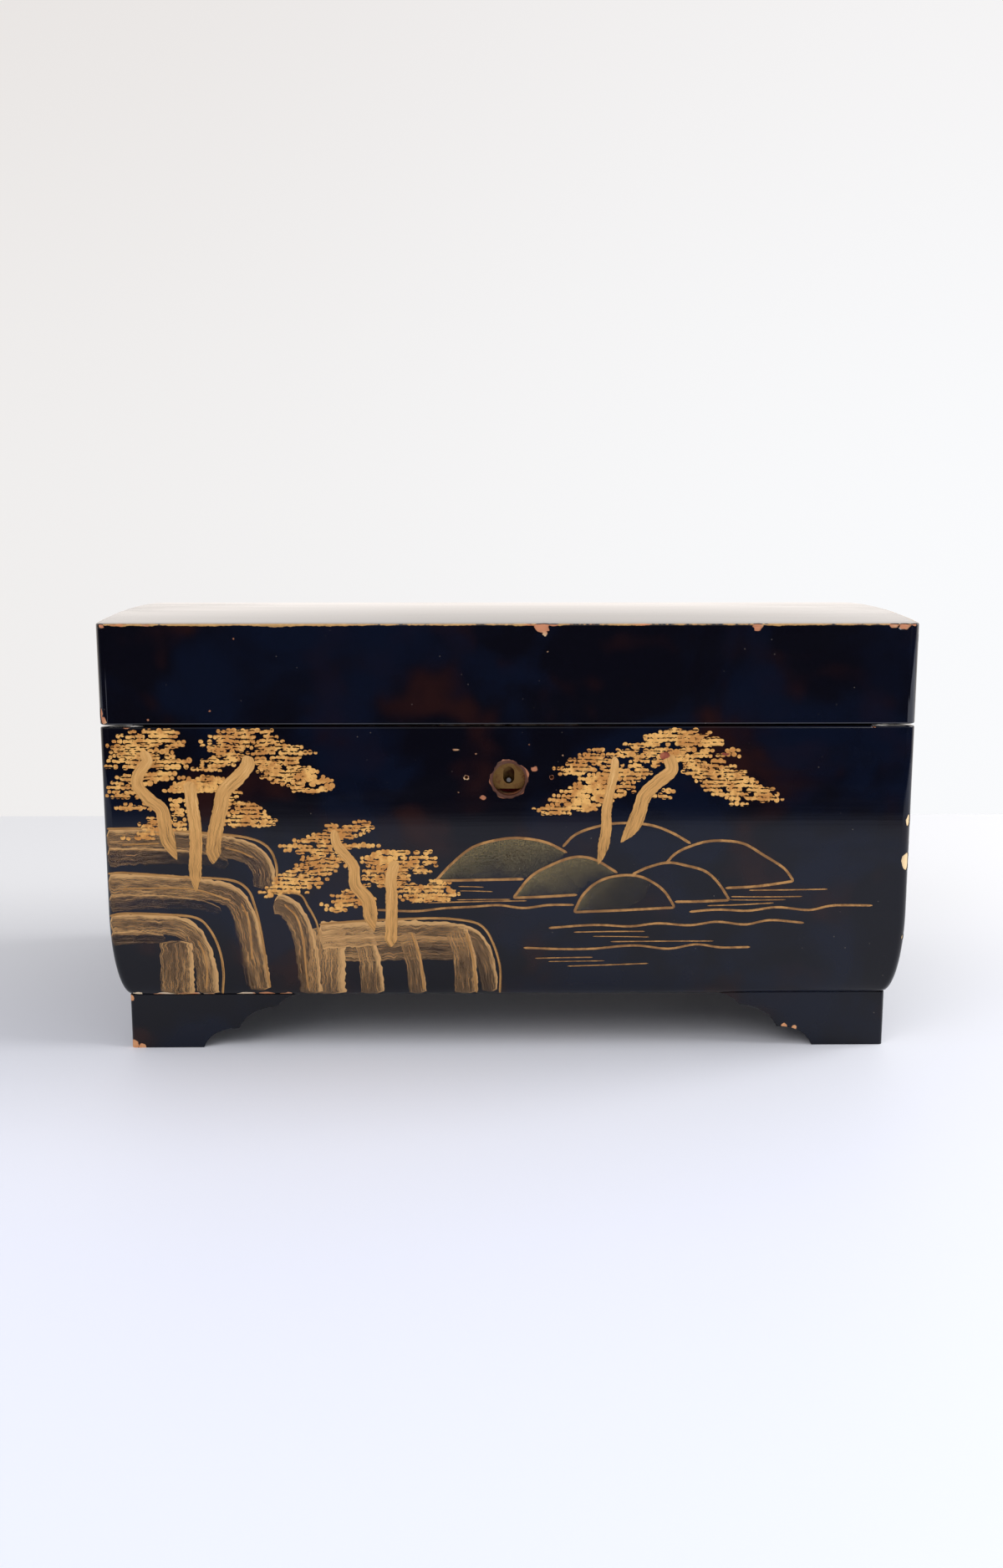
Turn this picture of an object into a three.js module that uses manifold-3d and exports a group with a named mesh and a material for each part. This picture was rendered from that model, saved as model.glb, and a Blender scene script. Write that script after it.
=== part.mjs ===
// Lacquer jewelry box: a wooden chest with a bombe foot edge on four bracket feet, and a hinged lid with an
// arched top. It holds a lift-out tray with ring rolls, a mirror in the lid and a small box lock.
// Millimetres, +Z up. The origin is on the surface that the box stands on, at the middle of its outer box.
// The front, with the key hole, looks towards -Y.
import * as THREE from "three";
import { mergeVertices } from "three/addons/utils/BufferGeometryUtils.js";
import Module from "manifold-3d";

const wasm = await Module();
wasm.setup();

// Outer size
const boxWidth = 270;
const boxDepth = 160;
const footHeight = 19;
const bodyHeight = 92.75;
const lidGap = 1.25;
const lidHeight = 32.5;
const archRise = 4.25;

// Boards
const wallThickness = 9;
const bottomThickness = 8;
const lidEdgeThickness = 6;
const cornerRadius = 3;
const bombeHeight = 30;
const bombeInset = 5.4;
const glueLine = 0.05;
const lacquerCoat = 0.3;
const cornerSteps = 5;
const bombeSteps = 8;

// Bracket feet: a pad, then three coves that climb to the underside of the box
const footInset = 4.9;
const footThickness = 9;
const footCornerRadius = 1.5;
const footPad = 24.8;
const firstCoveRun = 12.4;
const secondCoveRun = 13.3;
const thirdCoveRun = 7;
const firstCoveRise = 0.36;
const secondCoveRise = 0.42;

// Key hole, and the two pin holes of the escutcheon that is gone
const keyHoleDiameter = 11;
const keyHoleDrop = 17.5;
const pinHoleDiameter = 1.3;
const pinHoleDepth = 5;
const pinHoleSpacing = 28.4;
const pinHoleRise = 0.8;

// Lock
const lockWidth = 34;
const lockHeight = 21;
const lockPlate = 1;
const lockWeb = 3;
const lockFit = 0.1;
const selvedgeThickness = 1.5;
const selvedgeEar = 6;
const keyPostDrop = 18.15;
const keyPostDiameter = 1.6;
const keyEyeWidth = 3.7;
const keyEyeHeight = 5.7;
const keyEyeBelowPost = 1.1;

// Bolt and staple
const boltThrow = 4;
const boltThickness = 2.4;
const boltLength = 10;
const boltBelowNose = 8.6;
const boltAboveNose = 1.4;
const noseDrop = 5.65;
const noseHeight = 1.8;
const noseLength = 3.9;
const noseThickness = 1.2;
const noseBackOff = 0.55;
const boltFit = 0.45;
const stapleThickness = 1.5;
const stapleCheek = 0.5;
const stapleToe = 0.8;
const strikeLength = 26;
const strikeWidth = 5;
const strikeThickness = 1.2;
const springThickness = 0.4;
const springWidth = 2;

// Hinges
const hingeSpacing = 170;
const hingeLength = 30;
const leafThickness = 1;
const leafWidth = 8.4;
const barrelRadius = 2;
const hingePinRadius = 1;
const hingePinFit = 0.05;
const knuckleGap = 0.2;
const lidSwingClearance = 0.35;

// Wood screws
const screwHeadRadius = 1.8;
const screwShankRadius = 0.9;
const screwHeadHeight = 1;
const screwLength = 8;
const screwFit = 0.06;
const screwSlotWidth = 0.4;
const screwSlotDepth = 0.4;
const screwInset = 4;

// Linings
const floorLining = 1.5;
const wallLining = 1;
const liningBelowRim = 3.5;
const lidLining = 3;

// Tray and its rests
const restWidth = 6;
const restHeight = 5;
const restLength = 116;
const trayHeight = 30;
const trayBelowRim = 5.75;
const trayPlay = 1;
const trayWall = 3;
const trayFloor = 2.5;
const dividerThickness = 2;
const dividerBelowTray = 4;
const ringRollCount = 4;
const ringRollWidth = 13.5;
const ringRollHeight = 20;
const ringRollGap = 0.6;
const compartmentWidth = 80;
const ribbonThickness = 0.8;
const ribbonLoop = 5;
const ribbonWidth = 12;
const ribbonAboveTray = 3;
const ribbonBelowTray = 9;

// Mirror
const mirrorWidth = 184;
const mirrorDepth = 96;
const mirrorThickness = 2.5;
const mirrorOverlap = 3;
const mirrorFrameBar = 9;
const mirrorFrameThickness = 4.5;

// Worked out from the sizes above
const bodyTop = footHeight + bodyHeight;
const floorTop = footHeight + bottomThickness;
const lidBottom = bodyTop + lidGap;
const lidEdgeTop = lidBottom + lidHeight;
const lidUnderside = lidEdgeTop - lidEdgeThickness;
const apex = lidEdgeTop + archRise;
const halfWidth = boxWidth / 2;
const halfDepth = boxDepth / 2;
const innerHalfWidth = halfWidth - wallThickness;
const innerHalfDepth = halfDepth - wallThickness;
const hingeAxisY = halfDepth + barrelRadius + lacquerCoat + lidSwingClearance;
const hingeAxisZ = bodyTop + lidGap / 2;
const past = 1;

// Finishes
const blackLacquer = finish(0x0b0b10, 0.22, 0);
const velvet = finish(0x7a1420, 0.95, 0);
const brass = finish(0xb08a45, 0.38, 1);
const steel = finish(0x6f6a62, 0.45, 1);
const glass = finish(0xd6dbde, 0.03, 1);
const ribbonSilk = finish(0x9c2431, 0.6, 0);

function finish(color, roughness, metalness) {
  return new THREE.MeshStandardMaterial({ color, roughness, metalness });
}

// Solids: three.js geometry in, manifold solids between, three.js geometry out

function solid(geometry) {
  const plain = new THREE.BufferGeometry();
  plain.setAttribute("position", geometry.getAttribute("position"));
  plain.setIndex(geometry.index);
  const merged = mergeVertices(plain);
  return new wasm.Manifold(
    new wasm.Mesh({
      numProp: 3,
      vertProperties: new Float32Array(merged.getAttribute("position").array),
      triVerts: new Uint32Array(merged.index.array),
    }),
  );
}

function geometryOf(shape) {
  const { vertProperties, triVerts } = shape.getMesh();
  const geometry = new THREE.BufferGeometry();
  geometry.setAttribute("position", new THREE.BufferAttribute(new Float32Array(vertProperties), 3));
  geometry.setIndex(new THREE.BufferAttribute(new Uint32Array(triVerts), 1));
  geometry.computeVertexNormals();
  return geometry;
}

function block(x0, x1, y0, y1, z0, z1) {
  const geometry = new THREE.BoxGeometry(x1 - x0, y1 - y0, z1 - z0);
  return solid(geometry.translate((x0 + x1) / 2, (y0 + y1) / 2, (z0 + z1) / 2));
}

// A rod along X, Y or Z from one end to the other, at a place given by its two other coordinates
function rod(axis, radius, start, end, a, b, sides = 20) {
  const geometry = new THREE.CylinderGeometry(radius, radius, end - start, sides);
  const middle = (start + end) / 2;
  if (axis === "x") return solid(geometry.rotateZ(-Math.PI / 2).translate(middle, a, b));
  if (axis === "y") return solid(geometry.translate(a, middle, b));
  return solid(geometry.rotateX(Math.PI / 2).translate(a, b, middle));
}

// A section drawn in Y and Z, carried along X from start to end
function alongX(section, start, end, curveSegments = 8) {
  const geometry = new THREE.ExtrudeGeometry(section, { depth: end - start, bevelEnabled: false, curveSegments });
  return solid(geometry.rotateY(Math.PI / 2).rotateX(Math.PI / 2).translate(start, 0, 0));
}

// A section drawn in X and Z, carried along Y from start to end
function alongY(section, start, end, curveSegments = 8) {
  const geometry = new THREE.ExtrudeGeometry(section, { depth: end - start, bevelEnabled: false, curveSegments });
  return solid(geometry.rotateX(Math.PI / 2).translate(0, end, 0));
}

function roundedRing(width, depth, radius, z) {
  const points = [];
  for (let corner = 0; corner < 4; corner++) {
    const centreX = (corner % 3 === 0 ? 1 : -1) * (width / 2 - radius);
    const centreY = (corner < 2 ? 1 : -1) * (depth / 2 - radius);
    for (let step = 0; step <= cornerSteps; step++) {
      const angle = ((corner + step / cornerSteps) * Math.PI) / 2;
      points.push([centreX + radius * Math.cos(angle), centreY + radius * Math.sin(angle), z]);
    }
  }
  return points;
}

// Rounded rectangles stacked into one solid, each at its level's height and inset
function stackedForm(width, depth, radius, levels) {
  const rings = levels.map(({ z, inset }) => roundedRing(width - 2 * inset, depth - 2 * inset, radius, z));
  const count = rings[0].length;
  const triangles = [];
  for (let level = 0; level + 1 < rings.length; level++) {
    for (let i = 0; i < count; i++) {
      const low = level * count + i;
      const lowNext = level * count + ((i + 1) % count);
      triangles.push(low, lowNext, lowNext + count, low, lowNext + count, low + count);
    }
  }
  const top = (rings.length - 1) * count;
  for (let i = 1; i + 1 < count; i++) {
    triangles.push(0, i + 1, i, top, top + i, top + i + 1);
  }
  const geometry = new THREE.BufferGeometry();
  geometry.setAttribute("position", new THREE.Float32BufferAttribute(rings.flat(2), 3));
  geometry.setIndex(triangles);
  return solid(geometry);
}

function straightForm(width, depth, radius, z0, z1) {
  return stackedForm(width, depth, radius, [{ z: z0, inset: 0 }, { z: z1, inset: 0 }]);
}

function less(whole, ...cuts) {
  return cuts.reduce((left, cut) => left.subtract(cut), whole);
}

function joined(first, ...others) {
  return others.reduce((sum, other) => sum.add(other), first);
}

const box = new THREE.Group();

function piece(name, shape, material) {
  const mesh = new THREE.Mesh(geometryOf(shape), material);
  mesh.name = name;
  box.add(mesh);
  return mesh;
}

// Screws: a countersunk head whose flat top is at z, with the shank down (direction -1) or up (+1)

function screwBlank(x, y, z, direction, fit) {
  const tip = screwLength + fit;
  const profile = [
    new THREE.Vector2(0, 0),
    new THREE.Vector2(screwHeadRadius + fit, 0),
    new THREE.Vector2(screwShankRadius + fit, -screwHeadHeight - fit),
    new THREE.Vector2(screwShankRadius + fit, -tip + screwShankRadius),
    new THREE.Vector2(0, -tip),
  ];
  const geometry = new THREE.LatheGeometry(profile.reverse(), 12).rotateX(Math.PI / 2);
  if (direction > 0) geometry.rotateX(Math.PI);
  return solid(geometry.translate(x, y, z));
}

function screwHole(x, y, z, direction) {
  const mouth = direction > 0 ? [z - past, z] : [z, z + past];
  const wide = rod("z", screwHeadRadius + screwFit, mouth[0], mouth[1], x, y, 12);
  return screwBlank(x, y, z, direction, screwFit).add(wide);
}

function screw(name, x, y, z, direction) {
  const seat = z + direction * glueLine;
  const slot = block(
    x - screwHeadRadius - past, x + screwHeadRadius + past,
    y - screwSlotWidth / 2, y + screwSlotWidth / 2,
    seat - screwSlotDepth, seat + screwSlotDepth,
  );
  piece(name, less(screwBlank(x, y, seat, direction, 0), slot), steel);
}

// Body: boards cut from one outer form, whose lower edge curves in on all four sides

function bodyForm() {
  const levels = [];
  for (let step = 0; step <= bombeSteps; step++) {
    const angle = (Math.PI / 2) * (1 - step / bombeSteps);
    levels.push({
      z: footHeight + bombeHeight * (1 - Math.sin(angle)),
      inset: bombeInset * (1 - Math.cos(angle)),
    });
  }
  levels.push({ z: bodyTop, inset: 0 });
  return stackedForm(boxWidth, boxDepth, cornerRadius, levels);
}

const wholeBody = bodyForm();

function bodyBoard(x0, x1, y0, y1, z0, z1) {
  return wholeBody.intersect(block(x0, x1, y0, y1, z0, z1));
}

// Lock places, shared by the front board, the lock, the staple and the linings
const lockBackY = -innerHalfDepth - lockFit;
const lockFrontY = -halfDepth + lockWeb + lockFit;
const lockBottom = bodyTop - lockHeight;
const keyPostZ = bodyTop - keyPostDrop;
const cavityFrontY = lockFrontY + lockPlate;
const cavityBackY = lockBackY - lockPlate - glueLine;
const cavityMiddleY = (cavityFrontY + cavityBackY) / 2;
const noseZ = bodyTop - noseDrop;
const eyeHeight = noseHeight + 2 * boltFit;
const stapleBottom = noseZ - eyeHeight / 2 - stapleToe;
const stapleWidth = noseThickness + 2 * (boltFit + stapleCheek) - lockFit;
const earScrewX = lockWidth / 2 + selvedgeEar / 2;

function lockMortise() {
  const half = lockWidth / 2 + lockFit;
  const ear = lockWidth / 2 + selvedgeEar + lockFit;
  const front = lockFrontY - lockFit;
  const back = -innerHalfDepth + past;
  return joined(
    block(-half, half, front, back, lockBottom - lockFit, bodyTop + past),
    block(-ear, ear, front, back, bodyTop - selvedgeThickness - lockFit, bodyTop + past),
  );
}

function buildBoards() {
  const z0 = floorTop + glueLine;
  const keyHoleZ = bodyTop - keyHoleDrop;
  const pinHole = (x) => rod(
    "y", pinHoleDiameter / 2, -halfDepth - past, -halfDepth + pinHoleDepth, x, keyHoleZ + pinHoleRise, 10,
  );
  piece("front_board", less(
    bodyBoard(-halfWidth, halfWidth, -halfDepth, -innerHalfDepth, z0, bodyTop),
    rod("y", keyHoleDiameter / 2, -halfDepth - past, -innerHalfDepth + past, 0, keyHoleZ, 40),
    pinHole(-pinHoleSpacing / 2),
    pinHole(pinHoleSpacing / 2),
    lockMortise(),
    screwHole(-earScrewX, cavityMiddleY, bodyTop, -1),
    screwHole(earScrewX, cavityMiddleY, bodyTop, -1),
  ), blackLacquer);
  piece("back_board", less(
    bodyBoard(-halfWidth, halfWidth, innerHalfDepth, halfDepth, z0, bodyTop),
    ...hingeCuts(bodyTop, -1),
  ), blackLacquer);
  const y0 = -innerHalfDepth + glueLine;
  piece("left_board", bodyBoard(-halfWidth, -innerHalfWidth, y0, -y0, z0, bodyTop), blackLacquer);
  piece("right_board", bodyBoard(innerHalfWidth, halfWidth, y0, -y0, z0, bodyTop), blackLacquer);
  piece("bottom_board", bodyBoard(
    -halfWidth, halfWidth, -halfDepth, halfDepth, footHeight, floorTop,
  ), blackLacquer);
}

// One leg of a bracket foot, drawn from its outer corner towards -X
function footScroll() {
  const top = footHeight - glueLine;
  const firstEnd = footPad + firstCoveRun;
  const secondEnd = firstEnd + secondCoveRun;
  const thirdEnd = secondEnd + thirdCoveRun;
  const firstTop = top * firstCoveRise;
  const secondTop = firstTop + top * secondCoveRise;
  const section = new THREE.Shape();
  section.moveTo(0, 0);
  section.lineTo(-footPad, 0);
  section.quadraticCurveTo(-footPad - firstCoveRun * 0.2, firstTop, -firstEnd, firstTop);
  section.quadraticCurveTo(-firstEnd - secondCoveRun * 0.2, secondTop - 1, -secondEnd, secondTop);
  section.quadraticCurveTo(-secondEnd - thirdCoveRun * 0.3, top * 0.95, -thirdEnd, top);
  section.lineTo(0, top);
  return section;
}

function buildFeet() {
  const leg = alongY(footScroll(), -footThickness, 0, 6);
  const turnedLeg = leg.rotate([0, 0, 90]).translate([-footThickness, 0, 0]);
  const reach = footPad + firstCoveRun + secondCoveRun + thirdCoveRun;
  const outline = straightForm(2 * reach, 2 * reach, footCornerRadius, 0, footHeight).translate([-reach, -reach, 0]);
  const foot = leg.add(turnedLeg).intersect(outline);
  const places = [
    ["foot_back_right", 0, 1, 1],
    ["foot_back_left", 1, -1, 1],
    ["foot_front_left", 2, -1, -1],
    ["foot_front_right", 3, 1, -1],
  ];
  for (const [name, quarterTurns, sideX, sideY] of places) {
    const mesh = piece(name, foot, blackLacquer);
    mesh.rotation.z = (quarterTurns * Math.PI) / 2;
    mesh.position.set(sideX * (halfWidth - footInset), sideY * (halfDepth - footInset), 0);
  }
}

// Lid: four rails under a solid top that is planed to an arch from front to back

function buildLid() {
  const plan = straightForm(boxWidth, boxDepth, cornerRadius, lidBottom, apex + past);
  const railTop = lidUnderside - glueLine;
  const rail = (x0, x1, y0, y1) => plan.intersect(block(x0, x1, y0, y1, lidBottom, railTop));
  piece("lid_front_rail", less(
    rail(-halfWidth, halfWidth, -halfDepth, -innerHalfDepth),
    strikeRecess(),
    ...strikeScrewPlaces().map(([x, y]) => screwHole(x, y, lidBottom, 1)),
  ), blackLacquer);
  piece("lid_back_rail", less(
    rail(-halfWidth, halfWidth, innerHalfDepth, halfDepth),
    ...hingeCuts(lidBottom, 1),
  ), blackLacquer);
  const y0 = -innerHalfDepth + glueLine;
  piece("lid_left_rail", rail(-halfWidth, -innerHalfWidth, y0, -y0), blackLacquer);
  piece("lid_right_rail", rail(innerHalfWidth, halfWidth, y0, -y0), blackLacquer);

  const archRadius = (halfDepth ** 2 + archRise ** 2) / (2 * archRise);
  const halfAngle = Math.asin(halfDepth / archRadius);
  const section = new THREE.Shape();
  section.moveTo(-halfDepth, lidUnderside);
  section.lineTo(halfDepth, lidUnderside);
  section.absarc(0, apex - archRadius, archRadius, Math.PI / 2 - halfAngle, Math.PI / 2 + halfAngle, false);
  piece("lid_top", alongX(section, -halfWidth, halfWidth).intersect(plan), blackLacquer);
}

// Lining and mirror of the lid
function buildLidInside() {
  const top = lidUnderside - glueLine;
  const liningFace = lidUnderside - lidLining;
  const x = innerHalfWidth - glueLine;
  const y = innerHalfDepth - glueLine;
  piece("lid_lining", block(-x, x, -y, y, liningFace, top), velvet);

  const glassTop = liningFace - glueLine;
  const glassX = mirrorWidth / 2 + mirrorOverlap;
  const glassY = mirrorDepth / 2 + mirrorOverlap;
  const rebateFit = glueLine * 2;
  piece("mirror", block(-glassX, glassX, -glassY, glassY, glassTop - mirrorThickness, glassTop), glass);
  const frameX = mirrorWidth / 2 + mirrorFrameBar;
  const frameY = mirrorDepth / 2 + mirrorFrameBar;
  piece("mirror_frame", less(
    block(-frameX, frameX, -frameY, frameY, liningFace - mirrorFrameThickness, glassTop),
    block(
      -mirrorWidth / 2, mirrorWidth / 2, -mirrorDepth / 2, mirrorDepth / 2,
      liningFace - mirrorFrameThickness - past, glassTop + past,
    ),
    block(
      -glassX - rebateFit, glassX + rebateFit, -glassY - rebateFit, glassY + rebateFit,
      glassTop - mirrorThickness - glueLine, glassTop + past,
    ),
  ), blackLacquer);
}

// Hinges: two butt hinges let in between the back board and the back rail, with the barrel outside

function hingeCentres() {
  return [["left", -hingeSpacing / 2], ["right", hingeSpacing / 2]];
}

const leafInnerY = halfDepth - leafWidth;
const leafScrewY = leafInnerY + leafWidth / 2;
const leafScrewX = hingeLength / 2 - screwInset;

function hingeCuts(face, direction) {
  const fit = glueLine;
  const depth = leafThickness + fit;
  const [z0, z1] = direction < 0 ? [face - depth, face + past] : [face - past, face + depth];
  return hingeCentres().flatMap(([, x]) => [
    block(x - hingeLength / 2 - fit, x + hingeLength / 2 + fit, leafInnerY - fit, halfDepth + past, z0, z1),
    screwHole(x - leafScrewX, leafScrewY, face, direction),
    screwHole(x + leafScrewX, leafScrewY, face, direction),
  ]);
}

// A leaf whose knuckles take the given stretches of the barrel
function leaf(x, face, direction, knuckles) {
  const [z0, z1] = direction < 0 ? [face - leafThickness, face] : [face, face + leafThickness];
  const plate = block(x - hingeLength / 2, x + hingeLength / 2, leafInnerY, halfDepth, z0, z1);
  const curls = knuckles.flatMap(([from, to]) => [
    block(x + from, x + to, halfDepth - past, hingeAxisY, z0, z1),
    rod("x", barrelRadius, x + from, x + to, hingeAxisY, hingeAxisZ, 24),
  ]);
  const bore = rod(
    "x", hingePinRadius + hingePinFit, x - hingeLength, x + hingeLength, hingeAxisY, hingeAxisZ, 24,
  );
  return less(
    joined(plate, ...curls),
    bore,
    screwHole(x - leafScrewX, leafScrewY, face, direction),
    screwHole(x + leafScrewX, leafScrewY, face, direction),
  );
}

function buildHinges() {
  const half = hingeLength / 2;
  const inner = hingeLength / 6;
  const gap = knuckleGap / 2;
  for (const [side, x] of hingeCentres()) {
    piece(`hinge_${side}_body_leaf`, leaf(x, bodyTop, -1, [[-half, -inner - gap], [inner + gap, half]]), brass);
    piece(`hinge_${side}_lid_leaf`, leaf(x, lidBottom, 1, [[-inner + gap, inner - gap]]), brass);
    piece(`hinge_${side}_pin`, rod("x", hingePinRadius, x - half, x + half, hingeAxisY, hingeAxisZ, 24), steel);
    for (const [end, offset] of [["outer", -leafScrewX], ["inner", leafScrewX]]) {
      const screwX = x + offset * Math.sign(-x);
      screw(`hinge_${side}_body_screw_${end}`, screwX, leafScrewY, bodyTop, -1);
      screw(`hinge_${side}_lid_screw_${end}`, screwX, leafScrewY, lidBottom, 1);
    }
  }
}

// Lock: a brass case let into the front board from inside, with a bolt that slides along X

function buildLock() {
  const half = lockWidth / 2;
  const ear = half + selvedgeEar;
  const inside = half - lockPlate;
  const selvedgeBottom = bodyTop - selvedgeThickness;
  const slotX = stapleThickness / 2 + boltFit;
  const slotY = stapleWidth / 2 + boltFit;
  const keyEyeRadius = keyEyeWidth / 2;
  const keyEyeTop = keyPostZ - keyEyeBelowPost + keyEyeHeight - keyEyeRadius;
  const keyEyeBottom = keyPostZ - keyEyeBelowPost + keyEyeRadius;
  const caseBack = cavityBackY;
  const boltBottom = noseZ - boltBelowNose;
  const ledgeTop = boltBottom - glueLine * 2;
  const ledge = block(-inside - glueLine, -inside / 2, lockFrontY, caseBack, ledgeTop - lockPlate, ledgeTop);
  const shell = less(
    block(-half, half, lockFrontY, caseBack, lockBottom, bodyTop),
    block(-inside, inside, cavityFrontY, caseBack + past, lockBottom + lockPlate, selvedgeBottom),
  );
  const selvedge = block(-ear, ear, lockFrontY, lockBackY, selvedgeBottom, bodyTop);
  piece("lock_case", less(
    joined(shell, selvedge, ledge),
    block(-slotX, slotX, cavityMiddleY - slotY, cavityMiddleY + slotY, selvedgeBottom - past, bodyTop + past),
    rod("y", keyEyeRadius, lockFrontY - past, cavityFrontY + past / 2, 0, keyEyeTop, 16),
    rod("y", keyEyeRadius, lockFrontY - past, cavityFrontY + past / 2, 0, keyEyeBottom, 16),
    block(-keyEyeRadius, keyEyeRadius, lockFrontY - past, cavityFrontY + past / 2, keyEyeBottom, keyEyeTop),
    screwHole(-earScrewX, cavityMiddleY, bodyTop, -1),
    screwHole(earScrewX, cavityMiddleY, bodyTop, -1),
  ), brass);

  const coverFront = lockBackY - lockPlate;
  piece("lock_cover", block(-half, half, coverFront, lockBackY, lockBottom, selvedgeBottom - glueLine), brass);
  piece("key_post", rod(
    "y", keyPostDiameter / 2, lockFrontY + lockPlate / 2, coverFront - glueLine, 0, keyPostZ, 16,
  ), steel);
  buildBolt(boltBottom);
  buildSpring(selvedgeBottom, inside);
  screw("lock_screw_left", -earScrewX, cavityMiddleY, bodyTop, -1);
  screw("lock_screw_right", earScrewX, cavityMiddleY, bodyTop, -1);
}

// At rest the bolt is drawn back. Thrown, its nose stands in the eye of the staple.
const noseTip = -stapleThickness / 2 - noseBackOff;
const boltRight = noseTip - noseLength;

function buildBolt(bottom) {
  const left = boltRight - boltLength;
  const toeRight = boltRight + boltThrow / 2;
  const toeTop = stapleBottom - boltFit;
  const y0 = cavityMiddleY - boltThickness / 2;
  const y1 = cavityMiddleY + boltThickness / 2;
  const talon = rod("y", 1.6, y0 - past, y1 + past, (left + toeRight) / 2 + boltThrow / 2, bottom - 0.3, 16);
  piece("lock_bolt", less(joined(
    block(left, boltRight, y0, y1, bottom, noseZ + boltAboveNose),
    block(left, toeRight, y0, y1, bottom, toeTop),
    block(
      boltRight - past, noseTip,
      cavityMiddleY - noseThickness / 2, cavityMiddleY + noseThickness / 2,
      noseZ - noseHeight / 2, noseZ + noseHeight / 2,
    ),
  ), talon), steel);
}

// A bowed leaf spring that keeps the bolt down: its two ends are under the selvedge, its middle on the bolt
function buildSpring(top, inside) {
  const left = -inside + glueLine;
  const right = boltRight - glueLine;
  const middle = (left + right) / 2;
  const low = noseZ + boltAboveNose + glueLine * 2;
  const high = top - glueLine;
  const control = 2 * low - high + springThickness;
  const section = new THREE.Shape();
  section.moveTo(left, high - springThickness);
  section.quadraticCurveTo(middle, control, right, high - springThickness);
  section.lineTo(right, high);
  section.quadraticCurveTo(middle, control + springThickness, left, high);
  piece("lock_spring", alongY(
    section, cavityMiddleY - springWidth / 2, cavityMiddleY + springWidth / 2, 10,
  ), steel);
}

// Strike plate on the lid, with the staple that the bolt's nose goes through

function strikeScrewPlaces() {
  const x = strikeLength / 2 - screwInset;
  return [[-x, cavityMiddleY], [x, cavityMiddleY]];
}

function strikeRecess() {
  const x = strikeLength / 2 + lockFit;
  const y = strikeWidth / 2 + lockFit;
  return block(
    -x, x, cavityMiddleY - y, -innerHalfDepth + past, lidBottom - past, lidBottom + strikeThickness + lockFit,
  );
}

function buildStrike() {
  const x = strikeLength / 2;
  const y = strikeWidth / 2;
  const places = strikeScrewPlaces();
  const eyeHalf = stapleWidth / 2 - stapleCheek;
  piece("strike_plate", less(
    joined(
      block(-x, x, cavityMiddleY - y, cavityMiddleY + y, lidBottom, lidBottom + strikeThickness),
      block(
        -stapleThickness / 2, stapleThickness / 2,
        cavityMiddleY - stapleWidth / 2, cavityMiddleY + stapleWidth / 2,
        stapleBottom, lidBottom + strikeThickness,
      ),
    ),
    block(
      -stapleThickness, stapleThickness, cavityMiddleY - eyeHalf, cavityMiddleY + eyeHalf,
      noseZ - eyeHeight / 2, noseZ + eyeHeight / 2,
    ),
    ...places.map(([px, py]) => screwHole(px, py, lidBottom, 1)),
  ), brass);
  screw("strike_screw_left", places[0][0], places[0][1], lidBottom, 1);
  screw("strike_screw_right", places[1][0], places[1][1], lidBottom, 1);
}

// Body linings: a padded floor, and a strip round the walls that is notched round the lock

const floorFace = floorTop + floorLining;
const liningX = innerHalfWidth - glueLine;
const liningY = innerHalfDepth - glueLine;
const liningTop = bodyTop - liningBelowRim;

function buildLinings() {
  piece("floor_lining", block(-liningX, liningX, -liningY, liningY, floorTop + glueLine, floorFace), velvet);
  const insideX = liningX - wallLining;
  const insideY = liningY - wallLining;
  const notch = lockWidth / 2 + wallLining;
  piece("wall_lining", less(
    block(-liningX, liningX, -liningY, liningY, floorFace + glueLine, liningTop),
    block(-insideX, insideX, -insideY, insideY, floorFace - past, liningTop + past),
    block(-notch, notch, -innerHalfDepth - past, -insideY + past, lockBottom - wallLining, liningTop + past),
  ), velvet);
}

// Tray: it stands on a rest at each end and lifts straight out

const trayX = liningX - wallLining - trayPlay;
const trayY = liningY - wallLining - trayPlay;
const trayTop = bodyTop - trayBelowRim;
const trayBottom = trayTop - trayHeight;
const trayFloorTop = trayBottom + trayFloor;
const trayInsideX = trayX - trayWall;
const trayInsideY = trayY - trayWall;

function buildTrayRests() {
  const outer = liningX - wallLining - glueLine;
  const top = trayBottom - glueLine;
  for (const [side, sign] of [["left", -1], ["right", 1]]) {
    const [x0, x1] = sign < 0 ? [-outer, -outer + restWidth] : [outer - restWidth, outer];
    piece(`tray_rest_${side}`, block(x0, x1, -restLength / 2, restLength / 2, top - restHeight, top), velvet);
  }
}

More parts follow.
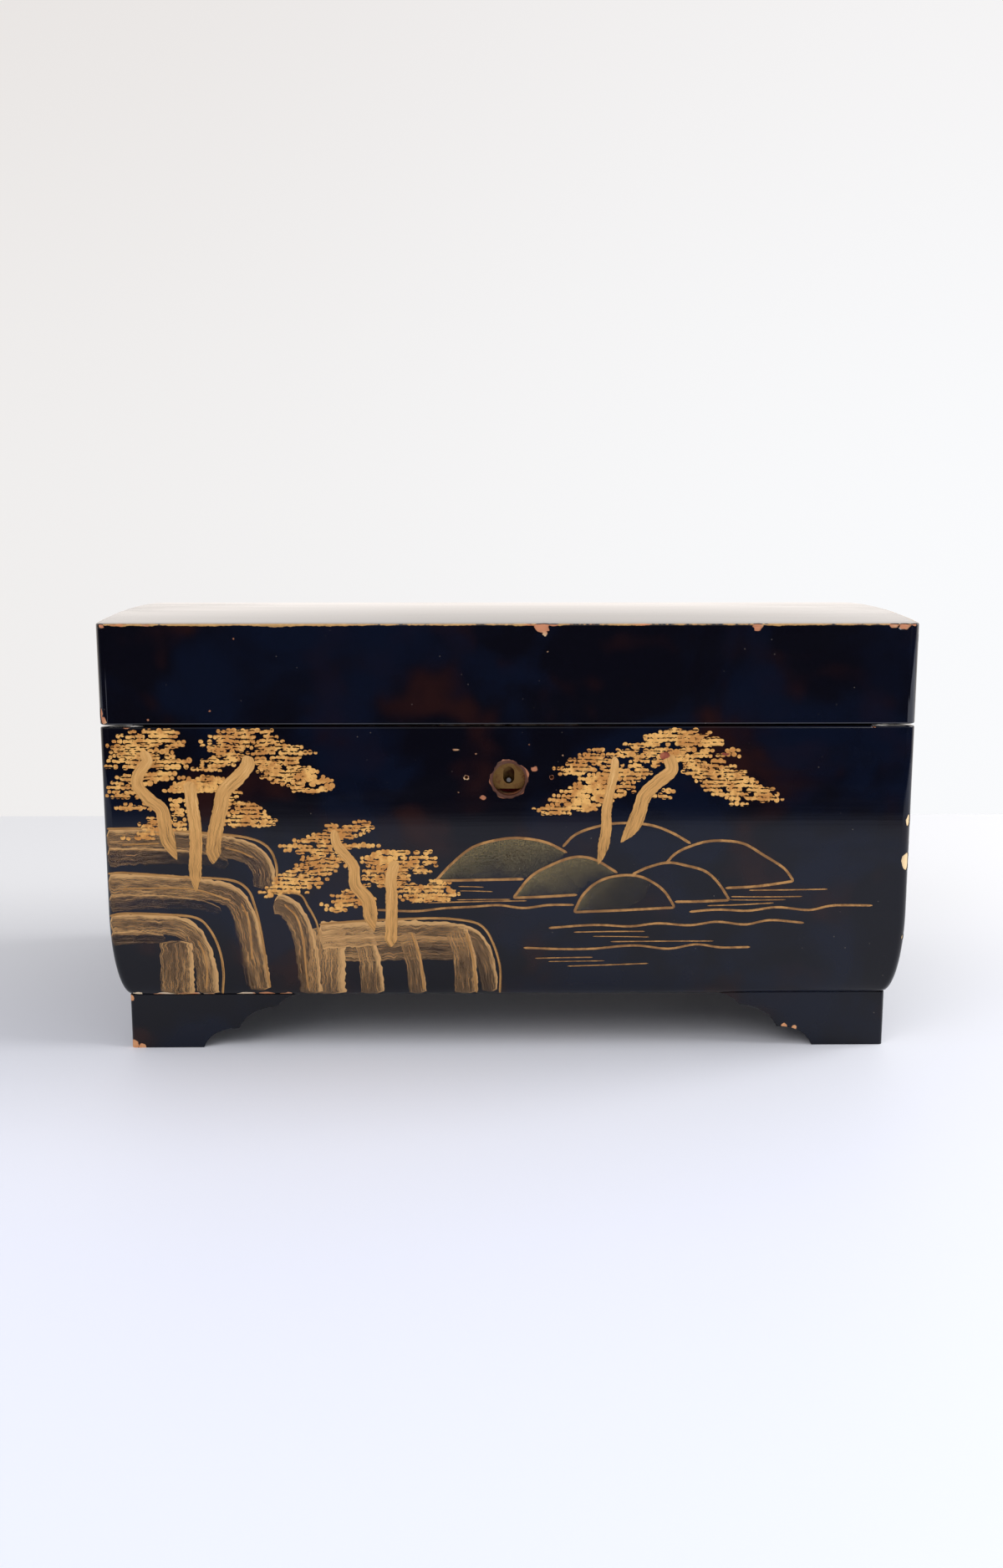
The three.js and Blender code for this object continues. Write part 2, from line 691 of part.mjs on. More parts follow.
function buildTray() {
  const wallBottom = trayFloorTop + glueLine;
  piece("tray_base", block(-trayX, trayX, -trayY, trayY, trayBottom, trayFloorTop), velvet);
  piece("tray_front_wall", block(-trayX, trayX, -trayY, -trayInsideY, wallBottom, trayTop), velvet);
  piece("tray_back_wall", block(-trayX, trayX, trayInsideY, trayY, wallBottom, trayTop), velvet);
  const y = trayInsideY - glueLine;
  piece("tray_left_wall", block(-trayX, -trayInsideX, -y, y, wallBottom, trayTop), velvet);
  piece("tray_right_wall", block(trayInsideX, trayX, -y, y, wallBottom, trayTop), velvet);

  // Ring rolls fill the front of the tray, and the divider stands behind the last one
  const rollPitch = ringRollWidth + ringRollGap;
  const rollEnd = trayInsideX - ringRollGap;
  const firstRollY = -trayInsideY + ringRollGap + ringRollWidth / 2;
  for (let index = 0; index < ringRollCount; index++) {
    const y0 = firstRollY + index * rollPitch;
    const radius = ringRollWidth / 2;
    const section = new THREE.Shape();
    section.moveTo(y0 - radius, wallBottom);
    section.lineTo(y0 + radius, wallBottom);
    section.absarc(y0, wallBottom + ringRollHeight - radius, radius, 0, Math.PI, false);
    piece(`ring_roll_${index + 1}`, alongX(section, -rollEnd, rollEnd, 5), velvet);
  }

  const dividerTop = trayTop - dividerBelowTray;
  const dividerFront = firstRollY + (ringRollCount - 0.5) * rollPitch + ringRollGap / 2;
  const dividerBack = dividerFront + dividerThickness;
  const x = trayInsideX - glueLine;
  piece("tray_divider", block(-x, x, dividerFront, dividerBack, wallBottom, dividerTop), velvet);
  for (const [side, sign] of [["left", -1], ["right", 1]]) {
    const middle = (sign * (compartmentWidth + dividerThickness)) / 2;
    piece(`tray_partition_${side}`, block(
      middle - dividerThickness / 2, middle + dividerThickness / 2,
      dividerBack + glueLine, trayInsideY - glueLine, wallBottom, dividerTop,
    ), velvet);
    buildRibbon(side, sign, (dividerBack + trayInsideY) / 2);
  }
}

// A ribbon loop on the inner face of the tray's end wall, to lift the tray by
function buildRibbon(side, sign, y) {
  const wallFace = sign * (trayInsideX - glueLine);
  const section = new THREE.Shape();
  const across = (distance) => wallFace - sign * distance;
  const radius = ribbonLoop / 2;
  const bottom = trayTop - ribbonBelowTray;
  const bend = trayTop + ribbonAboveTray - radius;
  section.moveTo(across(0), bottom);
  section.lineTo(across(0), bend);
  section.absarc(across(radius), bend, radius, sign > 0 ? 0 : Math.PI, sign > 0 ? Math.PI : 0, sign < 0);
  section.lineTo(across(ribbonLoop), bottom);
  section.lineTo(across(ribbonLoop - ribbonThickness), bottom);
  section.lineTo(across(ribbonLoop - ribbonThickness), bend);
  const innerRadius = radius - ribbonThickness;
  section.absarc(across(radius), bend, innerRadius, sign > 0 ? Math.PI : 0, sign > 0 ? 0 : Math.PI, sign > 0);
  section.lineTo(across(ribbonThickness), bottom);
  piece(`tray_ribbon_${side}`, alongY(section, y - ribbonWidth / 2, y + ribbonWidth / 2, 5), ribbonSilk);
}

buildBoards();
buildFeet();
buildLinings();
buildTrayRests();
buildTray();
buildLock();
buildHinges();
buildLid();
buildLidInside();
buildStrike();

// The barrels stand out behind, so the box moves forward by half of that to centre its outer box
box.position.y = -(hingeAxisY + barrelRadius - halfDepth) / 2;

export default box;
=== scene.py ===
"""A black lacquer jewelry box with a gold landscape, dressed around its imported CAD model.

The CAD boards are bare wood. Thin lacquer coats lie over them, chipped through to the wood, and the gold
ornament lies on the front coat. Sizes in the code are millimetres and become metres in the meshes.
"""

import logging
import math
import random
from dataclasses import dataclass
from enum import Enum
from functools import lru_cache
from typing import Callable, Optional, Sequence, Union

import bmesh
import bpy
from mathutils import Matrix, Vector, noise


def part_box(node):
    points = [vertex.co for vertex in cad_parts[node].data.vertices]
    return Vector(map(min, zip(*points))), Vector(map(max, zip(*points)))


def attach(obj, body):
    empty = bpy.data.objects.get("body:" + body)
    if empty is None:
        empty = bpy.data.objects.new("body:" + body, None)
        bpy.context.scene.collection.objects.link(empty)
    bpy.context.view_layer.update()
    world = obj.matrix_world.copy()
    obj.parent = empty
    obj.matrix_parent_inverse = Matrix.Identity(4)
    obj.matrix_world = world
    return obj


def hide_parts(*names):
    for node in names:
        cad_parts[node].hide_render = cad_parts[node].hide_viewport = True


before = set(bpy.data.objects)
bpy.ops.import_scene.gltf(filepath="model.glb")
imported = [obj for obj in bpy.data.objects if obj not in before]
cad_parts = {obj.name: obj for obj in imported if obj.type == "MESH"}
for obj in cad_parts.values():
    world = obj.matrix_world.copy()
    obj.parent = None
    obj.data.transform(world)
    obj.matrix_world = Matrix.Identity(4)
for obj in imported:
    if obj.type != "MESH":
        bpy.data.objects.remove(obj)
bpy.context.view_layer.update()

MM = 0.001
LARGE_FACE = 20 * MM * MM

Triple = tuple[float, float, float]
Rgb = Triple
Point = tuple[float, float]
Value = Union["Socket", float]
Colour = Union["Socket", Rgb]
Mesh = bmesh.types.BMesh
Vert = bmesh.types.BMVert
Edge = bmesh.types.BMEdge
Face = bmesh.types.BMFace
Made = bpy.types.Object

log = logging.getLogger("jewelry_box")


class Body(Enum):
    """The moving bodies that pieces ride on."""

    BOX = "box_body"
    LID = "lid"
    TRAY = "tray"


class Slot(Enum):
    """Names of the record's material slots."""

    LACQUER = "lacquered_wood"
    VELVET = "velvet"
    RIBBON = "ribbon"


# Sizes


@dataclass(frozen=True)
class BoxSizes:
    """The box's main sizes in millimetres, read from the CAD nodes where they have them.

    Args:
        bombe_height: height of the curve at the foot of the body.
        bombe_inset: how far that curve goes in at its lowest point.
        corner_radius: radius of the upright corners.
        coat: thickness of the lacquer outside the boards.
        wall: thickness of the boards.
        lid_rise: height of the lid's arch above its front and back arris.
        key_hole_z: height of the key hole's centre.
    """

    bombe_height: float = 30
    bombe_inset: float = 5.4
    corner_radius: float = 3
    coat: float = 0.28
    wall: float = 9
    lid_rise: float = 4.25
    key_hole_z: float = 94.25

    @staticmethod
    @lru_cache(maxsize=None)
    def node(name: str) -> tuple[Vector, Vector]:
        """Box of a CAD node, in millimetres."""
        low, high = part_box(name)
        return low / MM, high / MM

    @property
    def front(self) -> float:
        """Y of the boards' front face."""
        return self.node("front_board")[0].y

    @property
    def back(self) -> float:
        """Y of the boards' back face."""
        return self.node("back_board")[1].y

    @property
    def middle_y(self) -> float:
        """Y half way between front and back."""
        return (self.front + self.back) / 2

    @property
    def half_width(self) -> float:
        """Half of the width of the boards."""
        return self.node("front_board")[1].x

    @property
    def foot_top(self) -> float:
        """Z of the underside of the body."""
        return self.node("bottom_board")[0].z

    @property
    def body_top(self) -> float:
        """Z of the body's rim."""
        return self.node("front_board")[1].z

    @property
    def lid_bottom(self) -> float:
        """Z of the lid's rim."""
        return self.node("lid_front_rail")[0].z

    @property
    def apex(self) -> float:
        """Z of the top of the lid's arch."""
        return self.node("lid_top")[1].z

    @property
    def lid_edge(self) -> float:
        """Z of the lid's front and back arris."""
        return self.apex - self.lid_rise

    @property
    def half_depth(self) -> float:
        """Half of the depth of the boards."""
        return (self.back - self.front) / 2

    @property
    def arch_radius(self) -> float:
        """Radius of the lid's arch."""
        rise = self.apex - self.lid_edge
        return (self.half_depth * self.half_depth + rise * rise) / (2 * rise)

    def inset(self, z: float) -> float:
        """How far the boards' faces lie in at a height.

        Args:
            z: height in millimetres.

        Returns:
            The inset in millimetres.
        """
        share = (self.foot_top + self.bombe_height - z) / self.bombe_height
        share = min(1.0, max(0.0, share))
        return self.bombe_inset * (1 - math.sqrt(1 - share * share))

    def front_coat(self, z: float) -> float:
        """Y of the lacquer's surface on the front at a height."""
        return self.front - self.coat + self.inset(z)

    def arch(self, y: float) -> float:
        """Z of the lid's arched top at a depth.

        Args:
            y: depth in millimetres.

        Returns:
            The height in millimetres.
        """
        radius = self.arch_radius
        away = min(self.half_depth, abs(y - self.middle_y))
        return self.apex - radius + math.sqrt(radius * radius - away * away)


# Shader maths


class Socket:
    """An output of a shader node, on which Python's operators add Math nodes."""

    def __init__(self, tree: "ShaderTree", output: Optional[bpy.types.NodeSocket]) -> None:
        """Wraps an output socket of a tree."""
        self.tree = tree
        self.output = output

    def __add__(self, other: Value) -> "Socket":
        """Sum."""
        return self.tree.math("ADD", self, other)

    def __radd__(self, other: Value) -> "Socket":
        """Reflected sum."""
        return self.tree.math("ADD", other, self)

    def __sub__(self, other: Value) -> "Socket":
        """Difference."""
        return self.tree.math("SUBTRACT", self, other)

    def __rsub__(self, other: Value) -> "Socket":
        """Reflected difference."""
        return self.tree.math("SUBTRACT", other, self)

    def __mul__(self, other: Value) -> "Socket":
        """Product."""
        return self.tree.math("MULTIPLY", self, other)

    def __rmul__(self, other: Value) -> "Socket":
        """Reflected product."""
        return self.tree.math("MULTIPLY", other, self)



class ShaderTree:
    """A node tree under construction, whose coordinates are in metres."""

    def __init__(self, tree: bpy.types.NodeTree) -> None:
        """Starts from an empty tree."""
        self.tree = tree
        tree.nodes.clear()

    def node(
        self,
        kind: str,
        settings: Optional[dict] = None,
        inputs: Optional[dict] = None,
        output: Union[int, str] = 0,
    ) -> Socket:
        """Adds a node.

        Args:
            kind: the node's type.
            settings: its settings, which are set before its inputs.
            inputs: values or sockets for its inputs, by name or number.
            output: the output that is returned.

        Returns:
            The chosen output.
        """
        made = self.tree.nodes.new(kind)
        for name, value in (settings or {}).items():
            setattr(made, name, value)
        for name, value in (inputs or {}).items():
            if isinstance(value, Socket):
                self.tree.links.new(value.output, made.inputs[name])
            else:
                made.inputs[name].default_value = value
        return Socket(self, made.outputs[output] if made.outputs else None)

    def math(self, operation: str, *values: Value) -> Socket:
        """Adds a Math node."""
        return self.node("ShaderNodeMath", {"operation": operation}, dict(enumerate(values)))

    def place(self) -> Socket:
        """Object coordinates, in metres."""
        return self.node("ShaderNodeTexCoord", output="Object")

    def uv(self) -> Socket:
        """The piece's UV map."""
        return self.node("ShaderNodeTexCoord", output="UV")

    def attribute(self, name: str) -> Socket:
        """A number that the piece's vertices hold."""
        return self.node("ShaderNodeAttribute", {"attribute_name": name}, output="Fac")

    def scaled(self, vector: Socket, factors: Triple) -> Socket:
        """A vector multiplied by three factors."""
        return self.node("ShaderNodeVectorMath", {"operation": "MULTIPLY"}, {0: vector, 1: factors})

    def away(self, place: Socket, centre: Triple) -> Socket:
        """Distance of a place from a centre in millimetres, in metres."""
        metres = tuple(part * MM for part in centre)
        inputs = {0: place, 1: metres}
        return self.node("ShaderNodeVectorMath", {"operation": "DISTANCE"}, inputs, "Value")

    def axes(self, vector: Socket) -> tuple[Socket, Socket, Socket]:
        """The three parts of a vector."""
        parts = self.node("ShaderNodeSeparateXYZ", None, {0: vector})
        outputs = parts.output.node.outputs
        return Socket(self, outputs[0]), Socket(self, outputs[1]), Socket(self, outputs[2])

    def noise(
        self,
        vector: Socket,
        scale: float,
        detail: float = 3,
        roughness: float = 0.5,
        bend: float = 0,
    ) -> Socket:
        """A noise value from 0 to 1.

        Args:
            vector: where it is taken.
            scale: its waves for each unit of the vector.
            detail: how many finer layers it has.
            roughness: how strong the finer layers are.
            bend: how far it is distorted.

        Returns:
            The value.
        """
        inputs = {"Vector": vector, "Scale": scale, "Detail": detail, "Roughness": roughness}
        return self.node("ShaderNodeTexNoise", None, {**inputs, "Distortion": bend})

    def step(
        self,
        value: Value,
        low: float,
        high: float,
        start: float = 0,
        end: float = 1,
    ) -> Socket:
        """A smooth step.

        Args:
            value: what is stepped.
            low: where the step starts.
            high: where it ends.
            start: the result below it.
            end: the result above it.

        Returns:
            The stepped value.
        """
        inputs = {"Value": value, "From Min": low, "From Max": high, "To Min": start, "To Max": end}
        return self.node("ShaderNodeMapRange", {"interpolation_type": "SMOOTHSTEP"}, inputs)

    def mix(self, factor: Value, first: Colour, second: Colour) -> Socket:
        """Mixes two colours by a factor.

        Args:
            factor: the share of the second colour.
            first: the colour at 0.
            second: the colour at 1.

        Returns:
            The mixed colour.
        """
        ends = [end if isinstance(end, Socket) else (*end, 1) for end in (first, second)]
        inputs = {0: factor, 6: ends[0], 7: ends[1]}
        return self.node("ShaderNodeMix", {"data_type": "RGBA"}, inputs, 2)

    def bump(self, height: Socket, strength: float, distance: float) -> Socket:
        """A bumped normal, with the distance in millimetres."""
        inputs = {"Height": height, "Strength": strength, "Distance": distance * MM}
        return self.node("ShaderNodeBump", None, inputs, "Normal")

    def surface(self, **inputs: Union[Socket, float, tuple]) -> None:
        """Ends the tree in a Principled shader, whose inputs are named with underscores."""
        named = {name.replace("_", " "): value for name, value in inputs.items()}
        shader = self.node("ShaderNodeBsdfPrincipled", None, named)
        self.node("ShaderNodeOutputMaterial", None, {"Surface": shader})


def linear(red: int, green: int, blue: int) -> Rgb:
    """A screen colour as linear light.

    Args:
        red: its red, from 0 to 255.
        green: its green.
        blue: its blue.

    Returns:
        The three parts, from 0 to 1.
    """

    def channel(value: int) -> float:
        """One channel of it."""
        share = value / 255
        return share / 12.92 if share <= 0.04045 else ((share + 0.055) / 1.055) ** 2.4

    return channel(red), channel(green), channel(blue)


# Finishes


class Finish:
    """A surface finish that makes its material once."""

    name: str

    def material(self) -> bpy.types.Material:
        """The finish's material, made on first use."""
        found = bpy.data.materials.get(self.name)
        if found is None:
            found = bpy.data.materials.new(self.name)
            found.use_nodes = True
            self.shade(ShaderTree(found.node_tree))
        return found

    def shade(self, tree: ShaderTree) -> None:
        """Builds the finish's nodes in a tree."""
        raise NotImplementedError


@dataclass(frozen=True)
class Spot:
    """A place where lacquer is gone from a foot or an edge, in millimetres."""

    x: float
    y: float
    z: float
    radius: float


@dataclass(frozen=True)
class Lacquer(Finish):
    """Old black lacquer: near black with navy and red-brown clouds, brush lines, dust and worn edges.

    Args:
        name: the material's name.
        black: the lacquer's colour.
        navy: colour of its cold clouds.
        brown: colour of its warm clouds.
        roughness: its least roughness.
        arris: whether the lid's upper arris shows worn gold-brown ground.
        ior: how strongly it reflects.
        spots: places where bare wood shows.
    """

    name: str = "black_lacquer"
    black: Rgb = (0.0030, 0.0030, 0.0062)
    navy: Rgb = (0.0034, 0.0056, 0.0150)
    brown: Rgb = (0.0200, 0.0066, 0.0062)
    roughness: float = 0.065
    arris: bool = False
    ior: float = 1.34
    spots: tuple[Spot, ...] = ()

    def shade(self, tree: ShaderTree) -> None:
        """Builds the lacquer's nodes.

        Args:
            tree: the material's tree.
        """
        place = tree.place()
        cloud = tree.noise(place, 26, 3, 0.55, 0.4)
        warm = tree.step(tree.noise(place, 41, 2, 0.5), 0.50, 0.68)
        colour = tree.mix(tree.step(cloud, 0.42, 0.62), self.black, self.navy)
        colour = tree.mix(warm * tree.step(cloud, 0.40, 0.58, 0.9, 0.15), colour, self.brown)
        lines = tree.noise(tree.scaled(place, (14, 14, 620)), 1, 3, 0.6)
        top_lines = tree.noise(tree.scaled(place, (12, 420, 12)), 1, 3, 0.6)
        smears = tree.noise(tree.scaled(place, (9, 60, 90)), 1, 4, 0.65, 0.6)
        rough = tree.step(smears, 0.35, 0.75, self.roughness, self.roughness + 0.06)
        dust = tree.node("ShaderNodeTexVoronoi", None, {"Vector": place, "Scale": 260}, "Distance")
        speck = tree.step(dust, 0.035, 0.06, 1, 0) * tree.step(tree.noise(place, 90, 2), 0.52, 0.60)
        colour = tree.mix(speck * 0.5, colour, (0.20, 0.17, 0.14))
        height = lines * 0.5 + top_lines * 0.35 + tree.noise(place, 55, 2) * 0.9
        if self.arris:
            worn = self._arris(tree, place)
            ground = tree.mix(tree.noise(place, 700, 2), linear(150, 112, 62), linear(206, 160, 96))
            primed = tree.step(tree.noise(place, 120, 3), 0.56, 0.66)
            ground = tree.mix(primed, ground, linear(196, 126, 78))
            colour = tree.mix(worn, colour, ground)
            rough = rough + worn * 0.4
        for spot in self.spots:
            bare = self._bare(tree, place, spot)
            wood = tree.mix(tree.noise(place, 500, 2), linear(196, 120, 78), linear(226, 176, 128))
            colour = tree.mix(bare, colour, wood)
            rough = rough + bare * 0.5
            height = height - bare * 2
        tree.surface(
            Base_Color=colour,
            Roughness=rough,
            Normal=tree.bump(height, 0.25, 0.03),
            IOR=self.ior,
        )

    def _arris(self, tree: ShaderTree, place: Socket) -> Socket:
        """Mask of the lid's worn upper edge, by the distance from it.

        Args:
            tree: the tree that takes its nodes.
            place: object coordinates.

        Returns:
            The mask, 1 where the ground shows.
        """
        x, y, z = tree.axes(place)
        sizes = BoxSizes()
        radius = sizes.arch_radius
        away = tree.math("ABSOLUTE", y - sizes.middle_y * MM)
        side = (sizes.half_width + sizes.coat) * MM - tree.math("ABSOLUTE", x)
        fore = (sizes.half_depth + sizes.coat) * MM - away
        arch = tree.math("SQRT", (radius * MM) ** 2 - away * away)
        below = arch + (sizes.apex + sizes.coat - radius) * MM - z
        edge = tree.math("MAXIMUM", tree.math("MINIMUM", side, fore), below)
        ragged = tree.noise(place, 160, 4, 0.7) * 1.9 * MM
        patchy = tree.noise(place, 24, 2) * 1.2 * MM
        return tree.step(edge - ragged - patchy + 1.15 * MM, 0, 0.12 * MM, 1, 0)

    @staticmethod
    def _bare(tree: ShaderTree, place: Socket, spot: Spot) -> Socket:
        """Mask of one bare spot with a ragged rim.

        Args:
            tree: the tree that takes its nodes.
            place: object coordinates.
            spot: the spot.

        Returns:
            The mask, 1 where the wood is bare.
        """
        away = tree.away(place, (spot.x, spot.y, spot.z))
        ragged = tree.noise(place, 420, 3, 0.7) * spot.radius * 1.2 * MM
        return tree.step(away + ragged, spot.radius * 1.5 * MM, spot.radius * 1.62 * MM, 1, 0)


@dataclass(frozen=True)
class BareWood(Finish):
    """Pale softwood with a pink primer, seen where the lacquer has gone, with painted shade at the key
    hole's edge.

    Args:
        name: the material's name.
        pale: the wood's own colour.
        warm: colour of the primer.
        deep: colour of the grain.
        front_y: depth of the front face, for the darker patches and the painted shade round the key hole.
    """

    name: str = "bare_wood"
    pale: Rgb = linear(244, 218, 168)
    warm: Rgb = linear(202, 134, 96)
    deep: Rgb = linear(150, 88, 52)
    front_y: float = -82.3

    def shade(self, tree: ShaderTree) -> None:
        """Builds the wood's nodes.

        Args:
            tree: the material's tree.
        """
        place = tree.place()
        grain = tree.noise(tree.scaled(place, (40, 900, 900)), 1, 3, 0.6, 0.3)
        patch = tree.noise(place, 110, 2)
        colour = tree.mix(tree.step(patch, 0.30, 0.5), self.pale, self.warm)
        colour = tree.mix(tree.step(grain, 0.5, 0.75) * 0.6, colour, self.deep)
        x, _, z = tree.axes(place)
        clean = tree.step(x, 118 * MM, 122 * MM) * tree.step(z, 94 * MM, 98 * MM, 1, 0)
        colour = tree.mix(clean * 0.85, colour, self.pale)
        away = tree.away(place, (0, self.front_y, BoxSizes().key_hole_z))
        # Darker brown in noise patches within about 2 cm of the key hole.
        darker_near_key = tree.step(away, 0.016, 0.024, 0.42, 0) * tree.step(tree.noise(place, 260, 2), 0.30, 0.5)
        colour = tree.mix(darker_near_key, colour, linear(158, 92, 64))
        # Painted shade: dark brown on the wood at the key hole's edge stands in for the shadow in the
        # hole round the lock.
        inner = tree.step(away + (patch - 0.5) * 0.004, 0.0062, 0.0067, 0.92, 0)
        colour = tree.mix(inner, colour, linear(70, 38, 26))
        tree.surface(Base_Color=colour, Roughness=0.75, Normal=tree.bump(grain, 0.4, 0.1))


@dataclass(frozen=True)
class StainedWood(Finish):
    """Black-stained underside and hidden faces, with grain and rubbed brown patches.

    Args:
        name: the material's name.
        pale_from: height in millimetres above which bare wood shows.
    """

    name: str = "stained_wood"
    pale_from: float = 1000

    def shade(self, tree: ShaderTree) -> None:
        """Builds the stained wood's nodes.

        Args:
            tree: the material's tree.
        """
        place = tree.place()
        grain = tree.noise(tree.scaled(place, (25, 500, 500)), 1, 4, 0.65, 0.4)
        rubbed = tree.step(tree.noise(place, 38, 4, 0.6), 0.52, 0.7)
        colour = tree.mix(grain, (0.006, 0.005, 0.005), (0.022, 0.014, 0.011))
        colour = tree.mix(rubbed * 0.6, colour, linear(112, 66, 42))
        _, _, height = tree.axes(place)
        primed = tree.step(tree.noise(place, 110, 2), 0.45, 0.6)
        patch = tree.mix(primed, linear(240, 216, 182), linear(214, 142, 96))
        above = tree.step(height, self.pale_from * MM, (self.pale_from + 0.05) * MM)
        colour = tree.mix(above, colour, patch)
        tree.surface(Base_Color=colour, Roughness=0.5 + grain * 0.2, Normal=tree.bump(grain, 0.5, 0.12))


@dataclass(frozen=True)
class GoldPaint(Finish):
    """Flat gold paint laid with a brush.

    Args:
        name: the material's name.
        body: the paint's main colour.
        light: the colour where it is thick.
        metallic: how metallic it is.
    """

    name: str = "gold_paint"
    body: Rgb = linear(198, 134, 62)
    light: Rgb = linear(238, 182, 100)
    metallic: float = 0.12

    def shade(self, tree: ShaderTree) -> None:
        """Builds the paint's nodes.

        Args:
            tree: the material's tree.
        """
        place = tree.place()
        thick = tree.noise(place, 260, 3, 0.6)
        dab = tree.noise(place, 900, 2)
        colour = tree.mix(tree.step(thick, 0.38, 0.64), self.body, self.light)
        colour = tree.mix(tree.step(dab, 0.55, 0.75) * 0.35, colour, linear(140, 94, 44))
        tree.surface(
            Base_Color=colour,
            Roughness=0.5,
            Metallic=self.metallic,
            Alpha=self.cover(tree, place),
            Normal=tree.bump(dab, 0.5, 0.03),
        )

    def cover(self, tree: ShaderTree, place: Socket) -> Value:
        """The paint's cover over the surface, from 0 to 1, which is full here."""
        return 1.0


@dataclass(frozen=True)
class FoliageGold(GoldPaint):
    """Gold paint laid in short dabs, row over row, with the lacquer left bare in dashes between.

    Args:
        pitch: height of a row in millimetres.
    """

    name: str = "foliage_gold"
    pitch: float = 1.42

    def cover(self, tree: ShaderTree, place: Socket) -> Socket:
        """The paint's cover: bare dashes between the rows, fewer where the paint is thick.

        Args:
            tree: the tree that takes its nodes.
            place: object coordinates.

        Returns:
            The cover, from 0 to 1.
        """
        _, _, height = tree.axes(place)
        sway = tree.noise(place, 85, 2) * 1.6
        part = tree.math("FRACT", height * (1 / (self.pitch * MM)) + sway)
        near = tree.math("ABSOLUTE", part - 0.5) * 2
        grain = tree.noise(place, 1150, 2, 0.6)
        dashes = tree.noise(tree.scaled(place, (560, 0, 560)), 1, 1, 0.4)
        thick = tree.step(tree.noise(place, 60, 2), 0.50, 0.66)
        open_part = tree.step(near + grain * 0.9 - thick * 0.4, 1.10, 1.20)
        gap = open_part * tree.step(dashes, 0.44, 0.49)
        return 1 - gap


@dataclass(frozen=True)
class BrushedGold(Finish):
    """Gold strokes with streaks that run along the stroke, on the piece's UV map in centimetres.

    Args:
        name: the material's name.
        body: the paint's main colour.
        light: the colour where it is thick.
        cover: how much of the stroke the paint covers, from 0 to 1.
        softness: how gently its streaks end.
        streaks: streaks for each centimetre across the stroke.
        edge: extra cover along the stroke's outer edge.
        strength: the cover where the paint is thickest.
    """

    name: str
    body: Rgb = linear(166, 118, 62)
    light: Rgb = linear(220, 170, 100)
    cover: float = 0.5
    softness: float = 0.25
    streaks: float = 34
    edge: float = 0.0
    strength: float = 1.0

    def shade(self, tree: ShaderTree) -> None:
        """Builds the stroke's nodes.

        Args:
            tree: the material's tree.
        """
        along, across, _ = tree.axes(tree.uv())
        share = tree.attribute("share")
        wet = tree.attribute("cover")
        inputs = {"X": along * 1.3, "Y": across * self.streaks}
        streak_place = tree.node("ShaderNodeCombineXYZ", None, inputs)
        streak = tree.noise(streak_place, 1, 3, 0.62, 0.1)
        broad = tree.noise(streak_place, 0.22, 2, 0.5)
        paint = streak * 0.72 + broad * 0.28
        paint = paint + tree.step(share, 0.72, 1.0) * self.edge + (wet - 1) * 0.55
        level = 0.5 + (0.5 - self.cover) * 0.5
        half = self.softness / 2
        alpha = tree.step(paint, level - half, level + half) * self.strength
        colour = tree.mix(tree.step(paint, 0.45, 0.75), self.body, self.light)
        tree.surface(
            Base_Color=colour,
            Roughness=0.48,
            Metallic=0.12,
            Alpha=alpha,
            Normal=tree.bump(streak, 0.3, 0.03),
        )


@dataclass(frozen=True)
class GoldDust(Finish):
    """Gold powder sprinkled on wet lacquer, dense along the outline and thin away from it."""

    name: str = "gold_dust"
    body: Rgb = linear(132, 118, 82)

    def shade(self, tree: ShaderTree) -> None:
        """Builds the dust's nodes.

        Args:
            tree: the material's tree.
        """
        place = tree.place()
        wet = tree.attribute("cover")
        grains = tree.noise(place, 2600, 1, 0.5)
        cloud = tree.noise(place, 140, 2)
        alpha = tree.step(grains * 0.6 + wet * 0.42 + cloud * 0.14, 0.36, 0.92) * 0.86
        tree.surface(Base_Color=(*self.body, 1), Roughness=0.6, Metallic=0.2, Alpha=alpha)


@dataclass(frozen=True)
class Velvet(Finish):
    """Cotton velvet: short pile with a soft sheen, crushed in patches.

    Args:
        name: the material's name.
        dark: colour of the pile seen end on.
        bright: colour of the crushed pile.
    """

    name: str = "red_velvet"
    dark: Rgb = linear(96, 12, 24)
    bright: Rgb = linear(150, 30, 44)

    def shade(self, tree: ShaderTree) -> None:
        """Builds the velvet's nodes.

        Args:
            tree: the material's tree.
        """
        place = tree.place()
        pile = tree.noise(place, 3200, 2, 0.6)
        crush = tree.noise(place, 46, 3, 0.6, 0.6)
        colour = tree.mix(tree.step(crush, 0.4, 0.66), self.dark, self.bright)
        colour = tree.mix(tree.step(pile, 0.35, 0.7) * 0.35, colour, self.bright)
        tree.surface(
            Base_Color=colour,
            Roughness=0.9,
            Sheen_Weight=0.5,
            Sheen_Roughness=0.35,
            Sheen_Tint=(0.9, 0.45, 0.48, 1),
            Normal=tree.bump(pile + crush * 0.8, 0.45, 0.15),
        )


@dataclass(frozen=True)
class Satin(Finish):
    """Woven satin ribbon with fine ribs across it."""

    name: str = "ribbon_satin"
    body: Rgb = linear(150, 30, 44)

    def shade(self, tree: ShaderTree) -> None:
        """Builds the satin's nodes.

        Args:
            tree: the material's tree.
        """
        along, across, _ = tree.axes(tree.uv())
        rib = tree.math("SINE", along * 180)
        weave = tree.math("SINE", across * 260)
        tone = tree.noise(tree.place(), 300, 2)
        colour = tree.mix(tone, self.body, linear(190, 60, 74))
        tree.surface(
            Base_Color=colour,
            Roughness=0.42,
            Sheen_Weight=0.3,
            Normal=tree.bump(rib * 0.6 + weave * 0.3, 0.35, 0.05),
        )


